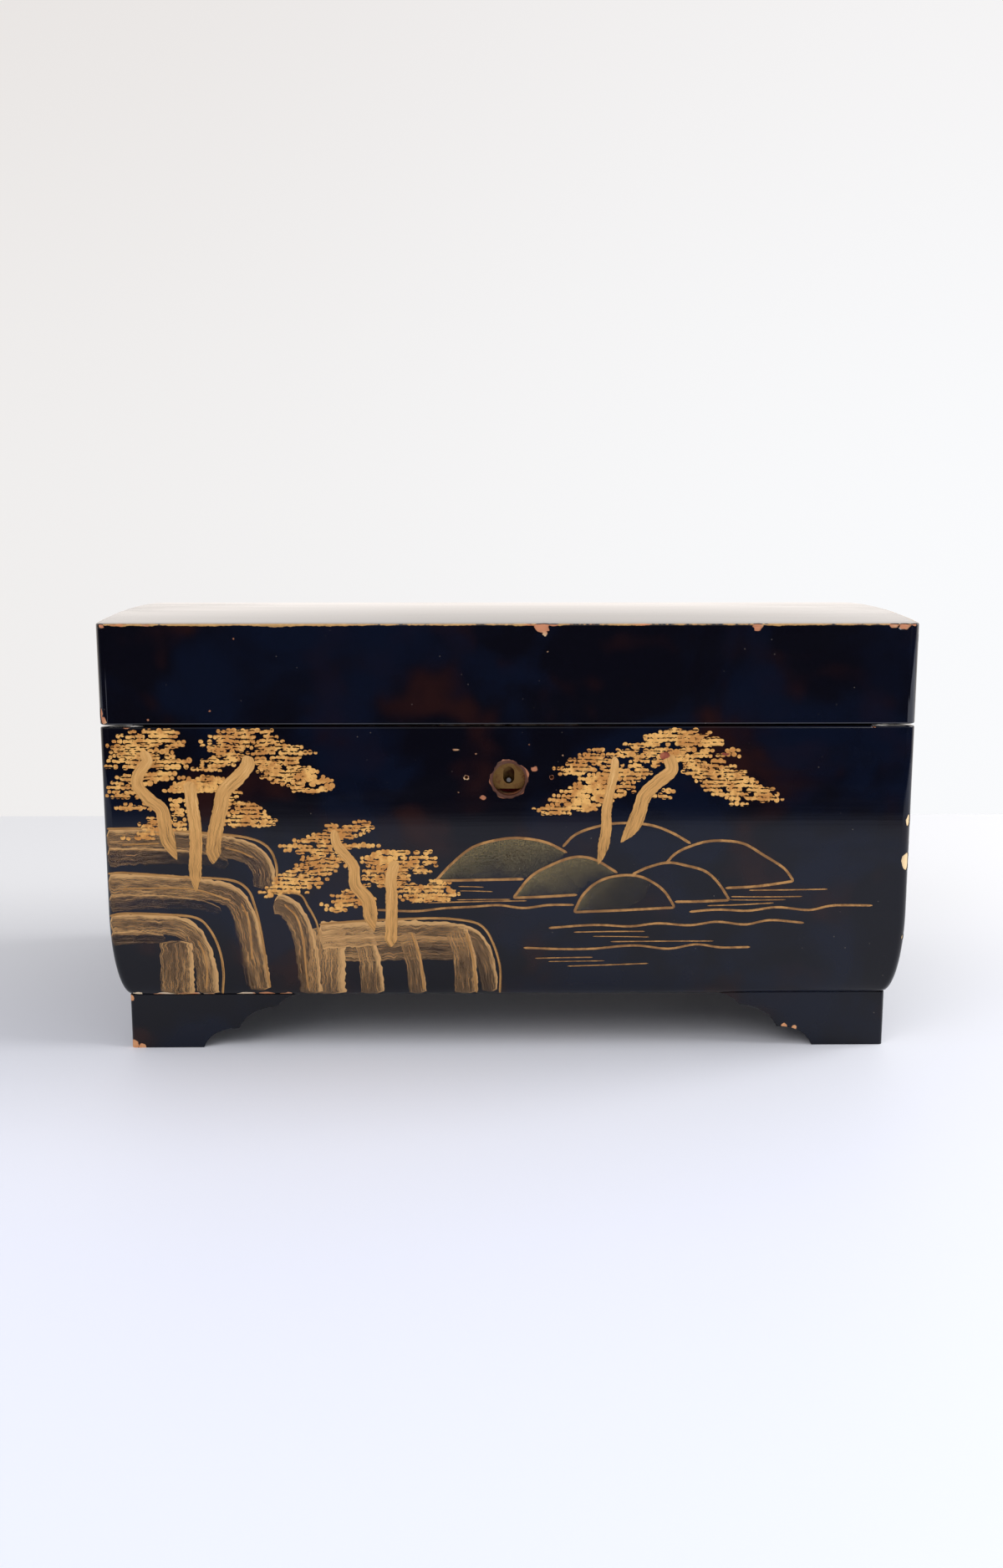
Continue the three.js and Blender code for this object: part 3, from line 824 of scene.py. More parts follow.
@dataclass(frozen=True)
class Metal(Finish):
    """Aged metal with a patina that gathers in patches.

    Args:
        name: the material's name.
        clean: colour of the clean metal.
        patina: colour of the tarnish or rust.
        amount: noise level above which the patina shows; lower shows more.
        roughness: roughness of the clean metal.
        grain: scales of the scratches along the three axes.
    """

    name: str
    clean: Rgb
    patina: Rgb
    amount: float = 0.5
    roughness: float = 0.32
    grain: Triple = (900, 60, 60)

    def shade(self, tree: ShaderTree) -> None:
        """Builds the metal's nodes.

        Args:
            tree: the material's tree.
        """
        place = tree.place()
        cloud = tree.noise(place, 240, 4, 0.65, 0.5)
        scratch = tree.noise(tree.scaled(place, self.grain), 1, 3, 0.6)
        tarnish = tree.step(cloud, self.amount, self.amount + 0.18)
        colour = tree.mix(scratch * 0.4, self.clean, tuple(0.7 * part for part in self.clean))
        colour = tree.mix(tarnish, colour, self.patina)
        rough = self.roughness + scratch * 0.12 + tarnish * 0.35
        tree.surface(
            Base_Color=colour,
            Metallic=1 - tarnish * 0.55,
            Roughness=rough,
            Normal=tree.bump(scratch * 0.4 + cloud, 0.3, 0.06),
        )


@dataclass(frozen=True)
class MirrorGlass(Finish):
    """Old silvered glass: clear, with grey specks, a faint haze near its edges and a painted grey glow.
    """

    name: str = "mirror_silver"

    def shade(self, tree: ShaderTree) -> None:
        """Builds the mirror's nodes.

        Args:
            tree: the material's tree.
        """
        place = tree.place()
        speck = tree.step(tree.noise(place, 620, 3, 0.7), 0.70, 0.76)
        haze = tree.noise(place, 24, 3)
        colour = tree.mix(speck * 0.8, linear(226, 231, 232), linear(70, 66, 60))
        # Painted glow: a grey emission, stronger higher up and varied by noise, stands in for the room
        # that the mirror reflects; no lamp is here.
        _, _, height = tree.axes(place)
        rise = tree.step(height, 113 * MM, 136 * MM)
        sheen = tree.mix(rise, (0.05, 0.05, 0.052), (0.16, 0.165, 0.17))
        tree.surface(
            Base_Color=colour,
            Metallic=1.0,
            Roughness=0.02 + haze * 0.05 + speck * 0.4,
            Emission_Color=tree.mix(tree.noise(place, 9, 2), sheen, (0.10, 0.10, 0.105)),
            Emission_Strength=1.0,
        )


LACQUER = Lacquer()
WORN_LACQUER = Lacquer(name="black_lacquer_worn_arris", arris=True, ior=1.55)
FRAME_LACQUER = Lacquer(name="black_lacquer_frame", roughness=0.2)
FOOT_LACQUER = Lacquer(
    name="black_lacquer_feet",
    roughness=0.16,
    spots=(
        Spot(-129.5, -77.4, 0.8, 1.9),
        Spot(-126.5, -77.4, 0.2, 1.3),
        Spot(95.5, -77.4, 6.6, 1.2),
        Spot(99.0, -77.4, 6.2, 0.9),
        Spot(-129.8, -77.0, 17.8, 1.2),
        Spot(129.9, 72.4, 1.0, 1.6),
        Spot(-118.0, 72.8, 0.4, 1.2),
    ),
)
WOOD = BareWood()
STAINED = StainedWood()
UNDERSIDE = StainedWood(name="stained_underside", pale_from=19.05)
GOLD = FoliageGold()
OUTLINE_GOLD = GoldPaint(name="outline_gold", body=linear(140, 98, 52), light=linear(186, 136, 76))
TRUNK_GOLD = BrushedGold(
    name="trunk_gold",
    body=linear(212, 158, 88),
    light=linear(248, 204, 134),
    cover=0.95,
    softness=0.42,
    streaks=26,
)
WASH_GOLD = BrushedGold(
    name="wash_gold",
    body=linear(172, 130, 82),
    light=linear(222, 174, 112),
    cover=0.50,
    softness=0.48,
    streaks=26,
    edge=0.28,
    strength=0.84,
)
LINE_GOLD = BrushedGold(
    name="line_gold",
    body=linear(170, 122, 64),
    cover=0.72,
    softness=0.35,
    streaks=60,
)
RUBBED_GOLD = GoldPaint(name="rubbed_gold", body=linear(132, 50, 34), light=linear(170, 92, 60))
DUST = GoldDust()
RED_VELVET = Velvet()
SATIN = Satin()
BRASS = Metal(
    name="aged_brass",
    clean=linear(168, 132, 72),
    patina=linear(74, 54, 32),
    amount=0.46,
    roughness=0.38,
)
LOCK_BRASS = Metal(
    name="lock_brass",
    clean=linear(164, 126, 74),
    patina=linear(120, 70, 38),
    amount=0.46,
    roughness=0.38,
)
STEEL = Metal(
    name="dull_steel",
    clean=linear(150, 146, 140),
    patina=linear(96, 58, 38),
    amount=0.58,
)
MIRROR = MirrorGlass()


# Mesh helpers


def new_object(name: str, mesh: Mesh) -> Made:
    """Makes an object of a bmesh that is in metres.

    Args:
        name: the object's name.
        mesh: its mesh, freed here.

    Returns:
        The object, at the origin.
    """
    data = bpy.data.meshes.new(name)
    mesh.to_mesh(data)
    mesh.free()
    made = bpy.data.objects.new(name, data)
    bpy.context.scene.collection.objects.link(made)
    return made


def new_piece(name: str, mesh: Mesh, finish: Finish, body: Body) -> Made:
    """Makes an object of a bmesh that is in millimetres.

    Args:
        name: the piece's name.
        mesh: its mesh, freed here.
        finish: its finish.
        body: the body that it rides on.

    Returns:
        The object, at the origin.
    """
    bmesh.ops.scale(mesh, vec=(MM, MM, MM), verts=mesh.verts)
    made = new_object(name, mesh)
    made.data.materials.append(finish.material())
    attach(made, body.value)
    log.info("made %s: %d faces", name, len(made.data.polygons))
    return made


def smooth(made: Made, degrees: float = 180) -> None:
    """Shades an object smoothly.

    Args:
        made: the object.
        degrees: the angle above which edges stay sharp and large level faces flat.
    """
    data = made.data
    data.shade_smooth()
    if degrees < 180:
        shape = bmesh.new()
        shape.from_mesh(data)
        for edge in shape.edges:
            edge.smooth = edge.calc_face_angle(0) < math.radians(degrees)
        for face in shape.faces:
            level = max(abs(part) for part in face.normal) > 0.999999
            face.smooth = not (level and face.calc_area() > LARGE_FACE)
        shape.to_mesh(data)
        shape.free()


def block(shape: Mesh, low: Sequence[float], high: Sequence[float]) -> list[Vert]:
    """Adds a box between two corners.

    Args:
        shape: the bmesh that takes it.
        low: its lowest corner in millimetres.
        high: its highest corner.

    Returns:
        Its vertices.
    """
    sides = [high[i] - low[i] for i in range(3)]
    middle = [(high[i] + low[i]) / 2 for i in range(3)]
    matrix = Matrix.Translation(middle) @ Matrix.Diagonal((*sides, 1))
    return bmesh.ops.create_cube(shape, size=1, matrix=matrix)["verts"]


def edges_of(verts: Sequence[Vert], test: Callable[[Vector, Vector], bool]) -> list[Edge]:
    """The edges of some vertices whose two ends pass a test.

    Args:
        verts: the vertices.
        test: says of an edge's two ends whether it is wanted.

    Returns:
        The edges, in the order in which the vertices meet them.
    """
    found = dict.fromkeys(edge for vert in verts for edge in vert.link_edges)
    return [edge for edge in found if test(edge.verts[0].co, edge.verts[1].co)]


def slices(shape: Mesh, axis: int, places: Sequence[float]) -> None:
    """Cuts loops into a form, square to an axis.

    Args:
        shape: the form.
        axis: the axis, from 0 to 2.
        places: where on it the loops lie.
    """
    normal = Vector((0, 0, 0))
    normal[axis] = 1
    for place in places:
        geometry = [*shape.verts, *shape.edges, *shape.faces]
        bmesh.ops.bisect_plane(shape, geom=geometry, plane_co=normal * place, plane_no=normal)


def between(low: float, high: float, count: int) -> list[float]:
    """The places that part a length into so many equal shares."""
    return [low + (high - low) * i / count for i in range(1, count)]


def first_row(shape: Mesh, count: int) -> list[Vert]:
    """Starts a strip with a row of vertices, joined by edges.

    Args:
        shape: the strip's bmesh.
        count: how many vertices the row has.

    Returns:
        The row.
    """
    row = [shape.verts.new((k, 0, 0)) for k in range(count)]
    for pair in zip(row, row[1:]):
        shape.edges.new(pair)
    return row


def next_row(shape: Mesh, row: Sequence[Vert]) -> list[Vert]:
    """Extrudes a strip's last row.

    Args:
        shape: the strip's bmesh.
        row: its last row.

    Returns:
        The new row, in the same order.
    """
    pairs = zip(row, row[1:])
    edges = [next(e for e in a.link_edges if e.other_vert(a) is b) for a, b in pairs]
    made = bmesh.ops.extrude_edge_only(shape, edges=edges)["geom"]
    fresh = {item for item in made if isinstance(item, Vert)}
    return [next(e.other_vert(v) for e in v.link_edges if e.other_vert(v) in fresh) for v in row]


def lay_uv(layer: bmesh.types.BMLayerItem, places: dict[Vert, Point]) -> None:
    """Writes the UV place of each vertex to its face corners."""
    for vert, place in places.items():
        for loop in vert.link_loops:
            loop[layer].uv = place


def round_edges(shape: Mesh, edges: Sequence[Edge], width: float, steps: int) -> None:
    """Bevels edges to a rounded profile.

    Args:
        shape: their bmesh.
        edges: the edges.
        width: the bevel's width in millimetres.
        steps: its segments.
    """
    shape.edges.index_update()
    bmesh.ops.bevel(
        shape,
        geom=list(edges),
        offset=width,
        offset_type="OFFSET",
        segments=steps,
        profile=0.5,
        affect="EDGES",
        material=-1,
        clamp_overlap=True,
    )


def baked(made: Made) -> Made:
    """Applies an object's modifiers to its mesh.

    Args:
        made: the object.

    Returns:
        The same object.
    """
    graph = bpy.context.evaluated_depsgraph_get()
    old = made.data
    result = bpy.data.meshes.new_from_object(made.evaluated_get(graph), depsgraph=graph)
    made.modifiers.clear()
    made.data = result
    result.name = made.name
    bpy.data.meshes.remove(old)
    return made


def cut(made: Made, cutter: Mesh) -> None:
    """Subtracts a bmesh in millimetres from an object.

    Args:
        made: the object that is cut.
        cutter: what is taken away, freed here.
    """
    bmesh.ops.scale(cutter, vec=(MM, MM, MM), verts=cutter.verts)
    tool = new_object("cutter", cutter)
    data = tool.data
    modifier = made.modifiers.new("cut", "BOOLEAN")
    modifier.operation = "DIFFERENCE"
    modifier.solver = "EXACT"
    modifier.use_self = True
    modifier.object = tool
    bpy.context.view_layer.update()
    baked(made)
    bpy.data.objects.remove(tool)
    bpy.data.meshes.remove(data)


def lump(shape: Mesh, centre: Triple, radii: Triple, seed: int, rough: float) -> None:
    """Adds a ragged lump for a chip.

    Args:
        shape: the bmesh that takes it.
        centre: its centre.
        radii: its three radii.
        seed: which raggedness it gets.
        rough: how ragged it is, as a share of its radius.
    """
    verts = bmesh.ops.create_icosphere(shape, subdivisions=2, radius=1)["verts"]
    shift = Vector((seed * 3.7, seed * 1.3, seed * 2.1))
    for vert in verts:
        push = noise.noise(vert.co * 1.6 + shift) + 0.6 * noise.noise(vert.co * 4.1 + shift)
        vert.co *= 1 + rough * push
        vert.co = Vector([vert.co[i] * radii[i] + centre[i] for i in range(3)])


def soften(made: Made, width: float, steps: int) -> None:
    """Rounds the edges of a CAD node, whose loose triangles are welded first.

    Args:
        made: the node's object.
        width: the rounding's width in millimetres.
        steps: its segments.
    """
    made.modifiers.new("weld", "WELD").merge_threshold = 0.002 * MM
    bevel = made.modifiers.new("round", "BEVEL")
    bevel.width = width * MM
    bevel.segments = steps
    bevel.limit_method = "ANGLE"
    bevel.angle_limit = math.radians(32)
    bevel.harden_normals = False


def dress(node: str, finish: Finish, rounding: float = 0, steps: int = 2) -> None:
    """Gives a CAD node its finish and soft edges.

    Args:
        node: the node's name.
        finish: its finish.
        rounding: width of its edges' rounding in millimetres, or 0 for none.
        steps: the rounding's segments.
    """
    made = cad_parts[node]
    made.data.materials.clear()
    made.data.materials.append(finish.material())
    if rounding:
        soften(made, rounding, steps)


# Coats of lacquer


@dataclass(frozen=True)
class Chip:
    """A place where the coat has broken away, on the front unless y is given.

    Args:
        x: place across the box.
        z: its height.
        wide: half of its width.
        high: half of its height.
        y: its depth, or None for the front.
    """

    x: float
    z: float
    wide: float
    high: float
    y: Optional[float] = None


@dataclass
class LacquerCoats:
    """The lacquer on the body and the lid, with its chips.

    Args:
        sizes: the box's sizes.
        thickness: the coat's own thickness.
        arris: width of the rounding of its edges.
        corner_steps: segments of the upright corners.
        body_inner_end: height where the body's coat ends inside.
        lid_inner_end: the same of the lid's.
        leaf_play: room round the hinges' leaves and the strike plate.
        key_ring: mean radius of the broken lacquer round the key hole.
        key_ragged: how ragged that ring is, as a share of its radius.
        pins: place across and radius of the two pin holes.
        pin_z: their height.
        body_chips: the body's chips, each with the values of a Chip.
        lid_chips: the lid's.
    """

    sizes: BoxSizes
    thickness: float = 0.26
    arris: float = 0.55
    corner_steps: int = 8
    body_inner_end: float = 108.4
    lid_inner_end: float = 136.3
    leaf_play: float = 0.15
    key_ring: float = 6.45
    key_ragged: float = 0.15
    pins: tuple[Point, ...] = ((-14.2, 1.0), (14.2, 0.85))
    pin_z: float = 95.05
    body_chips: tuple[tuple[float, ...], ...] = (
        (-8.6, 88.2, 1.1, 0.9), (-17.5, 104.3, 1.5, 0.35), (8.4, 97.9, 1.2, 1.0),
        (-11.0, 103.0, 0.4, 0.35), (6.6, 106.0, 0.3, 0.3), (17.8, 102.4, 0.35, 0.3),
        (-16.8, 90.0, 0.3, 0.3), (-118.0, 19.2, 4.6, 1.35), (-109.5, 19.3, 4.4, 1.35),
        (-102.6, 19.2, 2.2, 0.9), (-90.0, 19.2, 3.4, 1.35), (-82.8, 19.3, 3.2, 1.35),
        (-76.2, 19.2, 2.6, 1.3), (-127.4, 19.3, 2.2, 1.3), (134.2, 66.2, 2.3, 3.2, -82.0),
        (135.2, 71.2, 0.8, 1.6, -80.6), (134.6, 80.2, 1.5, 2.1, -81.9), (134.4, 39.6, 0.6, 1.0, -81.0),
        (135.2, 52.0, 0.5, 1.4, -79.4), (-135.2, 30.5, 0.7, 1.1, -79.5), (-126.0, 111.9, 1.4, 0.6),
        (121.0, 111.9, 0.9, 0.5), (-135.2, 64.0, 0.7, 2.2, 76.0), (134.8, 24.0, 1.2, 2.4, 76.2),
    )
    lid_chips: tuple[tuple[float, ...], ...] = (
        (-133.6, 145.3, 1.7, 1.1), (-129.4, 145.8, 1.6, 0.7), (-125.6, 145.9, 1.2, 0.55),
        (-118.6, 145.7, 2.2, 0.7), (-104.0, 146.0, 1.2, 0.5), (-97.0, 146.0, 0.7, 0.4),
        (10.6, 144.8, 2.6, 2.0), (14.4, 145.8, 2.4, 0.8), (6.6, 145.9, 1.6, 0.6), (11.6, 142.6, 0.9, 1.1),
        (47.0, 146.0, 0.9, 0.4), (78.6, 145.9, 1.8, 0.6), (81.4, 144.9, 1.9, 1.6),
        (84.2, 145.9, 1.3, 0.5), (116.0, 146.0, 0.9, 0.4), (126.4, 145.4, 1.9, 1.1),
        (129.8, 145.2, 2.0, 1.5), (133.2, 145.8, 1.6, 1.0), (-134.6, 116.4, 1.0, 2.2, -81.6),
        (-133.4, 114.2, 1.2, 1.3, -81.8), (-98.5, 117.3, 0.45, 0.4), (-118.9, 114.4, 0.5, 0.45),
        (-90.0, 141.0, 0.35, 0.35), (12.6, 136.7, 0.3, 0.3), (135.0, 140.5, 0.7, 1.6, -80.6),
        (135.3, 128.0, 0.5, 1.9, -79.6), (134.8, 146.0, 1.4, 0.9, 74.5), (-134.8, 146.0, 1.6, 1.0, 73.8),
    )

    def build(self) -> None:
        """Makes both coats and dresses the boards under them."""
        self._body()
        self._lid()
        for node in ("front_board", "back_board", "left_board", "right_board"):
            dress(node, WOOD)
        for node in ("lid_front_rail", "lid_back_rail", "lid_left_rail", "lid_right_rail", "lid_top"):
            dress(node, WOOD)
        dress("bottom_board", UNDERSIDE)

    def _outer_form(self, shape: Mesh, bottom: float, top: float) -> None:
        """Adds a block with the plan of the coats and rounded upright corners.

        Args:
            shape: the bmesh that takes it.
            bottom: height of its underside.
            top: height of its top.
        """
        sizes = self.sizes
        reach = sizes.half_width + sizes.coat
        low = (-reach, sizes.front - sizes.coat, bottom)
        high = (reach, sizes.back + sizes.coat, top)
        verts = block(shape, low, high)
        uprights = edges_of(verts, lambda a, b: abs(a.z - b.z) > 1)
        round_edges(shape, uprights, sizes.corner_radius + sizes.coat, self.corner_steps)

    def _drop_faces(self, shape: Mesh, test: Callable[[Face], bool]) -> None:
        """Deletes the faces that pass a test."""
        faces = [face for face in shape.faces if test(face)]
        bmesh.ops.delete(shape, geom=faces, context="FACES")

    def _fold_in(self, shape: Mesh, height: float, last: float, steps: int) -> None:
        """Turns the open edge at a height over the rim and down or up the inside.

        Args:
            shape: the open sheet.
            height: where its open edge is.
            last: height where the inner face ends.
            steps: how many loops the inner face has.
        """
        sizes = self.sizes
        inward = sizes.wall + 2 * sizes.coat
        half = sizes.back - sizes.middle_y
        loop = [edge for edge in shape.edges if edge.is_boundary and self._lies_at(edge, height)]
        levels = [height] + [height + (last - height) * (i + 1) / steps for i in range(steps)]
        done = 0.0
        for level in levels:
            made = bmesh.ops.extrude_edge_only(shape, edges=loop)["geom"]
            for vert in [item for item in made if isinstance(item, Vert)]:
                vert.co.x = self._drawn_in(vert.co.x, 0, sizes.half_width, done, inward)
                vert.co.y = self._drawn_in(vert.co.y, sizes.middle_y, half, done, inward)
                vert.co.z = level
            loop = [item for item in made if isinstance(item, Edge) and item.is_boundary]
            done = inward
        bmesh.ops.remove_doubles(shape, verts=shape.verts, dist=0.01)

    @staticmethod
    def _lies_at(edge: Edge, height: float) -> bool:
        """Whether both ends of an edge are at a height."""
        return all(abs(vert.co.z - height) < 0.01 for vert in edge.verts)

    @staticmethod
    def _is_arris(edge: Edge) -> bool:
        """Whether an edge is sharp."""
        return len(edge.link_faces) == 2 and edge.calc_face_angle(0) > math.radians(60)

    def _drawn_in(self, at: float, middle: float, half: float, done: float, inset: float) -> float:
        """One coordinate of a rim's point after the rim is drawn in.

        Args:
            at: the coordinate.
            middle: its value at the middle of the box.
            half: half of the box's size on that axis.
            done: how far the rim was drawn in before.
            inset: how far it is drawn in now.

        Returns:
            The new coordinate: the corners move in, and what lies between them stays.
        """
        away = abs(at - middle)
        straight = half - self.sizes.corner_radius
        if away > straight - done - 0.01:
            away -= inset - done
        else:
            away = min(away, straight - inset)
        return middle + math.copysign(away, at - middle)

    def _round_rims(self, shape: Mesh, height: float) -> None:
        """Rounds the two arrises of a rim at a height."""
        rim = [edge for edge in shape.edges if self._lies_at(edge, height) and self._is_arris(edge)]
        round_edges(shape, rim, self.arris, 3)

    def _finish_coat(self, shape: Mesh, name: str, finish: Finish, body: Body) -> Made:
        """Gives an open sheet its thickness inwards and makes it a piece.

        Args:
            shape: the sheet.
            name: the piece's name.
            finish: its finish.
            body: the body that it rides on.

        Returns:
            The piece.
        """
        bmesh.ops.recalc_face_normals(shape, faces=shape.faces)
        leftmost = min(shape.faces, key=lambda face: face.calc_center_median().x)
        if leftmost.normal.x > 0:
            bmesh.ops.reverse_faces(shape, faces=shape.faces)
        made = new_piece(name, shape, finish, body)
        wall = made.modifiers.new("thickness", "SOLIDIFY")
        wall.thickness = self.thickness * MM
        wall.offset = -1
        wall.use_quality_normals = True
        return baked(made)

    def _chips(self, shape: Mesh, chips: Sequence[Sequence[float]], seed: int) -> None:
        """Adds the lumps that cut a coat's chips.

        Args:
            shape: the bmesh that takes them.
            chips: the values of each chip.
            seed: which raggedness the first one gets.
        """
        for index, row in enumerate(chips):
            chip = Chip(*row)
            y = self.sizes.front_coat(chip.z) if chip.y is None else chip.y
            deep = max(0.55, min(chip.wide, chip.high) * 0.9)
            radii = (chip.wide, deep, chip.high)
            if chip.y is not None:
                radii = (max(chip.wide, 0.7), max(chip.wide, 0.9), chip.high)
            lump(shape, (chip.x, y, chip.z), radii, seed + index, 0.42)

    def _body(self) -> None:
        """Makes the body's coat with its rim, key hole and hinge places."""
        sizes = self.sizes
        shape = bmesh.new()
        top = sizes.body_top + sizes.coat
        self._outer_form(shape, sizes.foot_top, top)
        steps = 14
        shares = [1 - math.sin(math.pi / 2 * i / steps) for i in range(steps - 1)]
        slices(shape, 2, [*(sizes.foot_top + sizes.bombe_height * share for share in shares), 70, 90])
        for vert in shape.verts:
            inset = sizes.inset(max(vert.co.z, sizes.foot_top + 0.02))
            vert.co.x -= math.copysign(inset, vert.co.x)
            vert.co.y -= math.copysign(inset, vert.co.y - sizes.middle_y)
        self._drop_faces(shape, lambda face: abs(face.normal.z) > 0.999)
        self._fold_in(shape, top, self.body_inner_end, 1)
        self._round_rims(shape, top)
        made = self._finish_coat(shape, "body_lacquer", LACQUER, Body.BOX)
        cutter = bmesh.new()
        self._chips(cutter, self.body_chips, 5)
        self._key_hole(cutter)
        self._mouths(cutter)
        cut(made, cutter)
        smooth(made, 40)

    def _key_hole(self, cutter: Mesh) -> None:
        """Adds the ragged ring round the key hole and the two pin holes.

        Args:
            cutter: the bmesh that takes them.
        """
        sizes = self.sizes
        front = sizes.front - sizes.coat
        place = Matrix.Translation((0, sizes.front, sizes.key_hole_z))
        verts = bmesh.ops.create_cone(
            cutter,
            cap_ends=True,
            segments=64,
            radius1=self.key_ring,
            radius2=self.key_ring,
            depth=3,
            matrix=place @ Matrix.Rotation(math.pi / 2, 4, "X"),
        )["verts"]
        for vert in verts:
            across = Vector((vert.co.x, 0, vert.co.z - sizes.key_hole_z))
            angle = math.atan2(across.z, across.x)
            turn = Vector((math.cos(angle), math.sin(angle), 0))
            ragged = noise.noise(turn * 1.4 + Vector((0, 0, 2.0)))
            ragged += 0.6 * noise.noise(turn * 5 + Vector((0, 0, 7.0)))
            grow = 1 + self.key_ragged * ragged
            vert.co.x = across.x * grow
            vert.co.z = sizes.key_hole_z + across.z * grow
        for x, rim in self.pins:
            lump(cutter, (x, front, self.pin_z), (rim, 1.2, rim), int(x) + 40, 0.35)

    def _mouths(self, cutter: Mesh) -> None:
        """Adds the cuts for the lock's plate and the hinges' leaves on the body's rim.

        Args:
            cutter: the bmesh that takes them.
        """
        low, high = self.sizes.node("lock_case")
        side_play, front_play, lock_room = 0.25, 0.2, 11
        start = (low.x - side_play, low.y - front_play, 107)
        block(cutter, start, (high.x + side_play, self.sizes.front + lock_room, 114))
        for side in ("left", "right"):
            self._leaf_mouth(cutter, f"hinge_{side}_body_leaf", 1, (110.6, 114))

    def _leaf_mouth(self, cutter: Mesh, node: str, behind: float, span: Point) -> None:
        """Adds the cut for a metal leaf on a rim.

        Args:
            cutter: the bmesh that takes it.
            node: the leaf's CAD node.
            behind: how far the cut goes past the leaf's back.
            span: its lowest and highest height.
        """
        play = self.leaf_play
        low, high = self.sizes.node(node)
        start = (low.x - play, low.y - play, span[0])
        block(cutter, start, (high.x + play, high.y + behind, span[1]))

    def _lid(self) -> None:
        """Makes the lid's coat: arched top, sides, rim and inner faces."""
        sizes = self.sizes
        shape = bmesh.new()
        bottom = sizes.lid_bottom - sizes.coat
        self._outer_form(shape, bottom, sizes.apex)
        slices(shape, 1, between(sizes.front, sizes.back, 28))
        for vert in shape.verts:
            if vert.co.z > sizes.apex - 0.01:
                vert.co.z = sizes.arch(vert.co.y) + sizes.coat
        self._drop_faces(shape, lambda face: face.normal.z < -0.99)
        top_edges = [
            edge
            for edge in shape.edges
            if self._is_arris(edge) and max(vert.co.z for vert in edge.verts) > sizes.lid_edge
        ]
        round_edges(shape, top_edges, self.arris, 3)
        self._fold_in(shape, bottom, self.lid_inner_end, 2)
        self._round_rims(shape, bottom)
        made = self._finish_coat(shape, "lid_lacquer", WORN_LACQUER, Body.LID)
        cutter = bmesh.new()
        self._chips(cutter, self.lid_chips, 71)
        self._leaf_mouth(cutter, "strike_plate", self.leaf_play, (112, 113.6))
        for side in ("left", "right"):
            self._leaf_mouth(cutter, f"hinge_{side}_lid_leaf", 1, (112, 114.15))
        cut(made, cutter)
        smooth(made, 40)


@dataclass
class BracketFeet:
    """The four bracket feet.

    Args:
        rounding: width of the rounding of their edges.
    """

    rounding: float = 0.5

    def build(self) -> None:
        """Dresses the CAD feet."""
        for node in ("foot_front_left", "foot_front_right", "foot_back_left", "foot_back_right"):
            dress(node, FOOT_LACQUER, self.rounding, 3)


# Gold ornament on the front


@dataclass(frozen=True)
class Stroke:
    """A brush stroke on the front.

    Args:
        path: points of its middle line, in millimetres across and up.
        width: width at its start.
        end_width: width at its end, or None for the same.
        cover: how much paint it has, at its start and its end.
        taper: length over which each end narrows, at the start and the end.
        blunt: how bluntly each end narrows; 1 is straight and 0 doesn't narrow.
    """

    path: tuple[Point, ...]
    width: float
    end_width: Optional[float] = None
    cover: tuple[float, float] = (1, 1)
    taper: tuple[float, float] = (0.8, 0.8)
    blunt: tuple[float, float] = (0.6, 0.75)


def curve_through(path: Sequence[Point], step: float) -> list[Vector]:
    """Points at an even spacing on a smooth curve.

    Args:
        path: the points that the curve goes through.
        step: the spacing in millimetres.

    Returns:
        The points.
    """
    points = [Vector(point) for point in path]
    ends = [2 * points[0] - points[1], *points, 2 * points[-1] - points[-2]]
    dense = []
    for i in range(1, len(ends) - 2):
        p0, p1, p2, p3 = ends[i - 1 : i + 3]
        for k in range(12):
            t = k / 12
            part = (p2 - p0) * t + (2 * p0 - 5 * p1 + 4 * p2 - p3) * t * t
            part += (3 * p1 - p0 - 3 * p2 + p3) * t * t * t
            dense.append(p1 + part / 2)
    dense.append(points[-1])
    lengths = [0.0]
    for a, b in zip(dense, dense[1:]):
        lengths.append(lengths[-1] + (b - a).length)
    count = max(2, round(lengths[-1] / step))
    result, at = [], 0
    for i in range(count + 1):
        goal = lengths[-1] * i / count
        while at < len(dense) - 2 and lengths[at + 1] < goal:
            at += 1
        span = max(1e-9, lengths[at + 1] - lengths[at])
        result.append(dense[at].lerp(dense[at + 1], min(1.0, (goal - lengths[at]) / span)))
    return result


